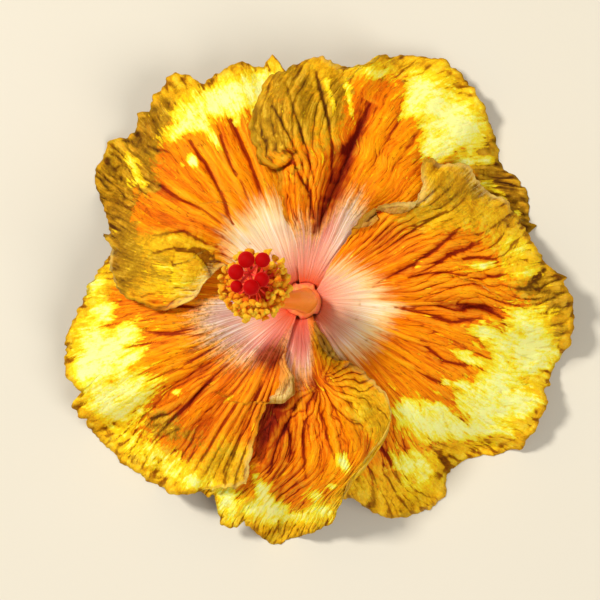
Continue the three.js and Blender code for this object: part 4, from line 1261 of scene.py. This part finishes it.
around = np.linspace(0, 360, 150, endpoint=False)[None, :]
lobe = np.abs(((around + 8) / 72) % 1 - 0.5) * 2
rows = []
floor_line = through(calyx_floor)
a = np.radians(around)
for radius in np.linspace(calyx_floor[0][0], calyx_floor[-1][0], 10):
    rows.append(np.stack([radius * np.cos(a), radius * np.sin(a), floor_line(radius) + 0 * a], axis=-1)[0])
for t in np.linspace(0.0, 1, 34):
    tip = blend(lobe_notch, lobe_tip, lobe**1.3)
    out = blend(5.05, tip, t**1.8)
    keel = 0.22 * np.exp(-((lobe / 0.1) ** 2)) + 0.1 * np.cos(np.radians(around * 25))
    rows.append(on_dome(out, around, -2 - keel * t)[0])
points = np.stack(rows)
vertices, faces = sheet(points, np.full(points.shape[:2], calyx_wall), closed=True)
rib = np.tile(np.broadcast_to(around * 0.12, points.shape[:2]).ravel(), 2)
calyx_material = green_finish("downy_calyx", "93AB55", "6B8438", 0.35)
add_piece("calyx_cup", "calyx", vertices, faces[:, ::-1], calyx_material, {"rib": rib})

# ---- Epicalyx -----------------------------------------------------------------------------------
# A whorl of seven narrow green bractlets stands on a small collar round the stalk, just below the
# calyx, and curves up round it.
bract_count = 7
bract_width = [(0, 0.9), (0.35, 1.3), (1, 0.3)]
collar_height = claw_foot - 5


def bract(turn):
    """One bractlet, a thin blade that runs out and curves up."""
    t, side = np.meshgrid(np.linspace(0, 1, 30), np.linspace(-1, 1, 9), indexing="ij")
    out = 2.5 + 10.5 * t - 1.5 * t * t
    across = side * through(bract_width)(t)
    height = collar_height + 0.4 * t + 7 * t**2.2 + 0.25 * across**2 - 0.12 * np.exp(-((side / 0.2) ** 2))
    c, s = math.cos(turn), math.sin(turn)
    points = np.stack([out * c - across * s, out * s + across * c, height], axis=-1)
    return sheet(points, blend(0.75, 0.5, t))


collar_line = [(1.85, -0.6), (2.5, -0.58), (3.1, -0.45), (3.25, 0), (3.1, 0.45), (2.5, 0.58), (1.85, 0.6)]
ring = np.array([(r, h + collar_height) for r, h in [*collar_line, collar_line[0]]])


def turned_shape(outline, sides):
    """A shape turned about the upright line through the throat."""
    a = np.linspace(0, math.tau, sides, endpoint=False)
    r, h = np.array(outline).T
    points = np.stack([r[:, None] * np.cos(a), r[:, None] * np.sin(a), h[:, None] + 0 * a], axis=-1)
    return points.reshape(-1, 3), ring_grid(len(r), sides)[1]


parts = [turned_shape(ring, 48)]
parts += [bract(math.radians(i / bract_count * 360 + 11)) for i in range(bract_count)]
vertices, faces, owner = gather(parts)
bract_material = green_finish("downy_bractlets", "7F9C48", "587430", 0.4)
add_piece("epicalyx_whorl", "epicalyx", vertices, faces, bract_material, {"rib": owner * 3})

# ---- Stalk --------------------------------------------------------------------------------------
# The green stalk widens into the receptacle that carries the flower. It bends just below the bloom,
# has the swollen joint where such stalks part, and ends in a clean cut clear of the table.
stalk_top = claw_foot - 0.35
stalk_knots = [
    (0, 0, stalk_top - 2), (0, 0, stalk_top - 4.5), (0.5, -0.9, 4.4), (3, -5.2, 2.5), (6.2, -10.6, 2.3),
    (9, -15.6, 2.6),
]
stalk_girth = [(0, 1.5), (0.5, 1.5), (0.6, 1.75), (0.66, 1.35), (1, 1.4)]
stalk_steps, stalk_sides = 90, 28
head_line = [
    (0.02, -3.2), (1.3, -3.2), (1.42, -2.8), (1.5, -2.4), (2.8, -2.05), (4.2, -1.62), (4.8, -1.35),
    (4.9, -1.2), (4.9, -0.15), (4.75, 0), (0.02, 0),
]
path = smooth_path(stalk_knots, stalk_steps)
a = np.linspace(0, math.tau, stalk_sides, endpoint=False)[None, :]
along = np.linspace(0, 1, stalk_steps)[:, None]
girth = through(stalk_girth)(along) + 0.04 * np.cos(9 * a + 3 * along) + 0.03 * wander(a * 4, along * 40, 9)
parts = [turned_shape([(r, h + stalk_top) for r, h in head_line], 64), tube(path, girth, stalk_sides)]
vertices, faces, _ = gather(parts)
rib = np.arctan2(vertices[:, 1], vertices[:, 0]) * 4
stalk_material = green_finish("green_stalk", "86A04E", "5E7A34", 0.25)
add_piece("cut_stalk", "stalk", vertices, faces, stalk_material, {"rib": rib})
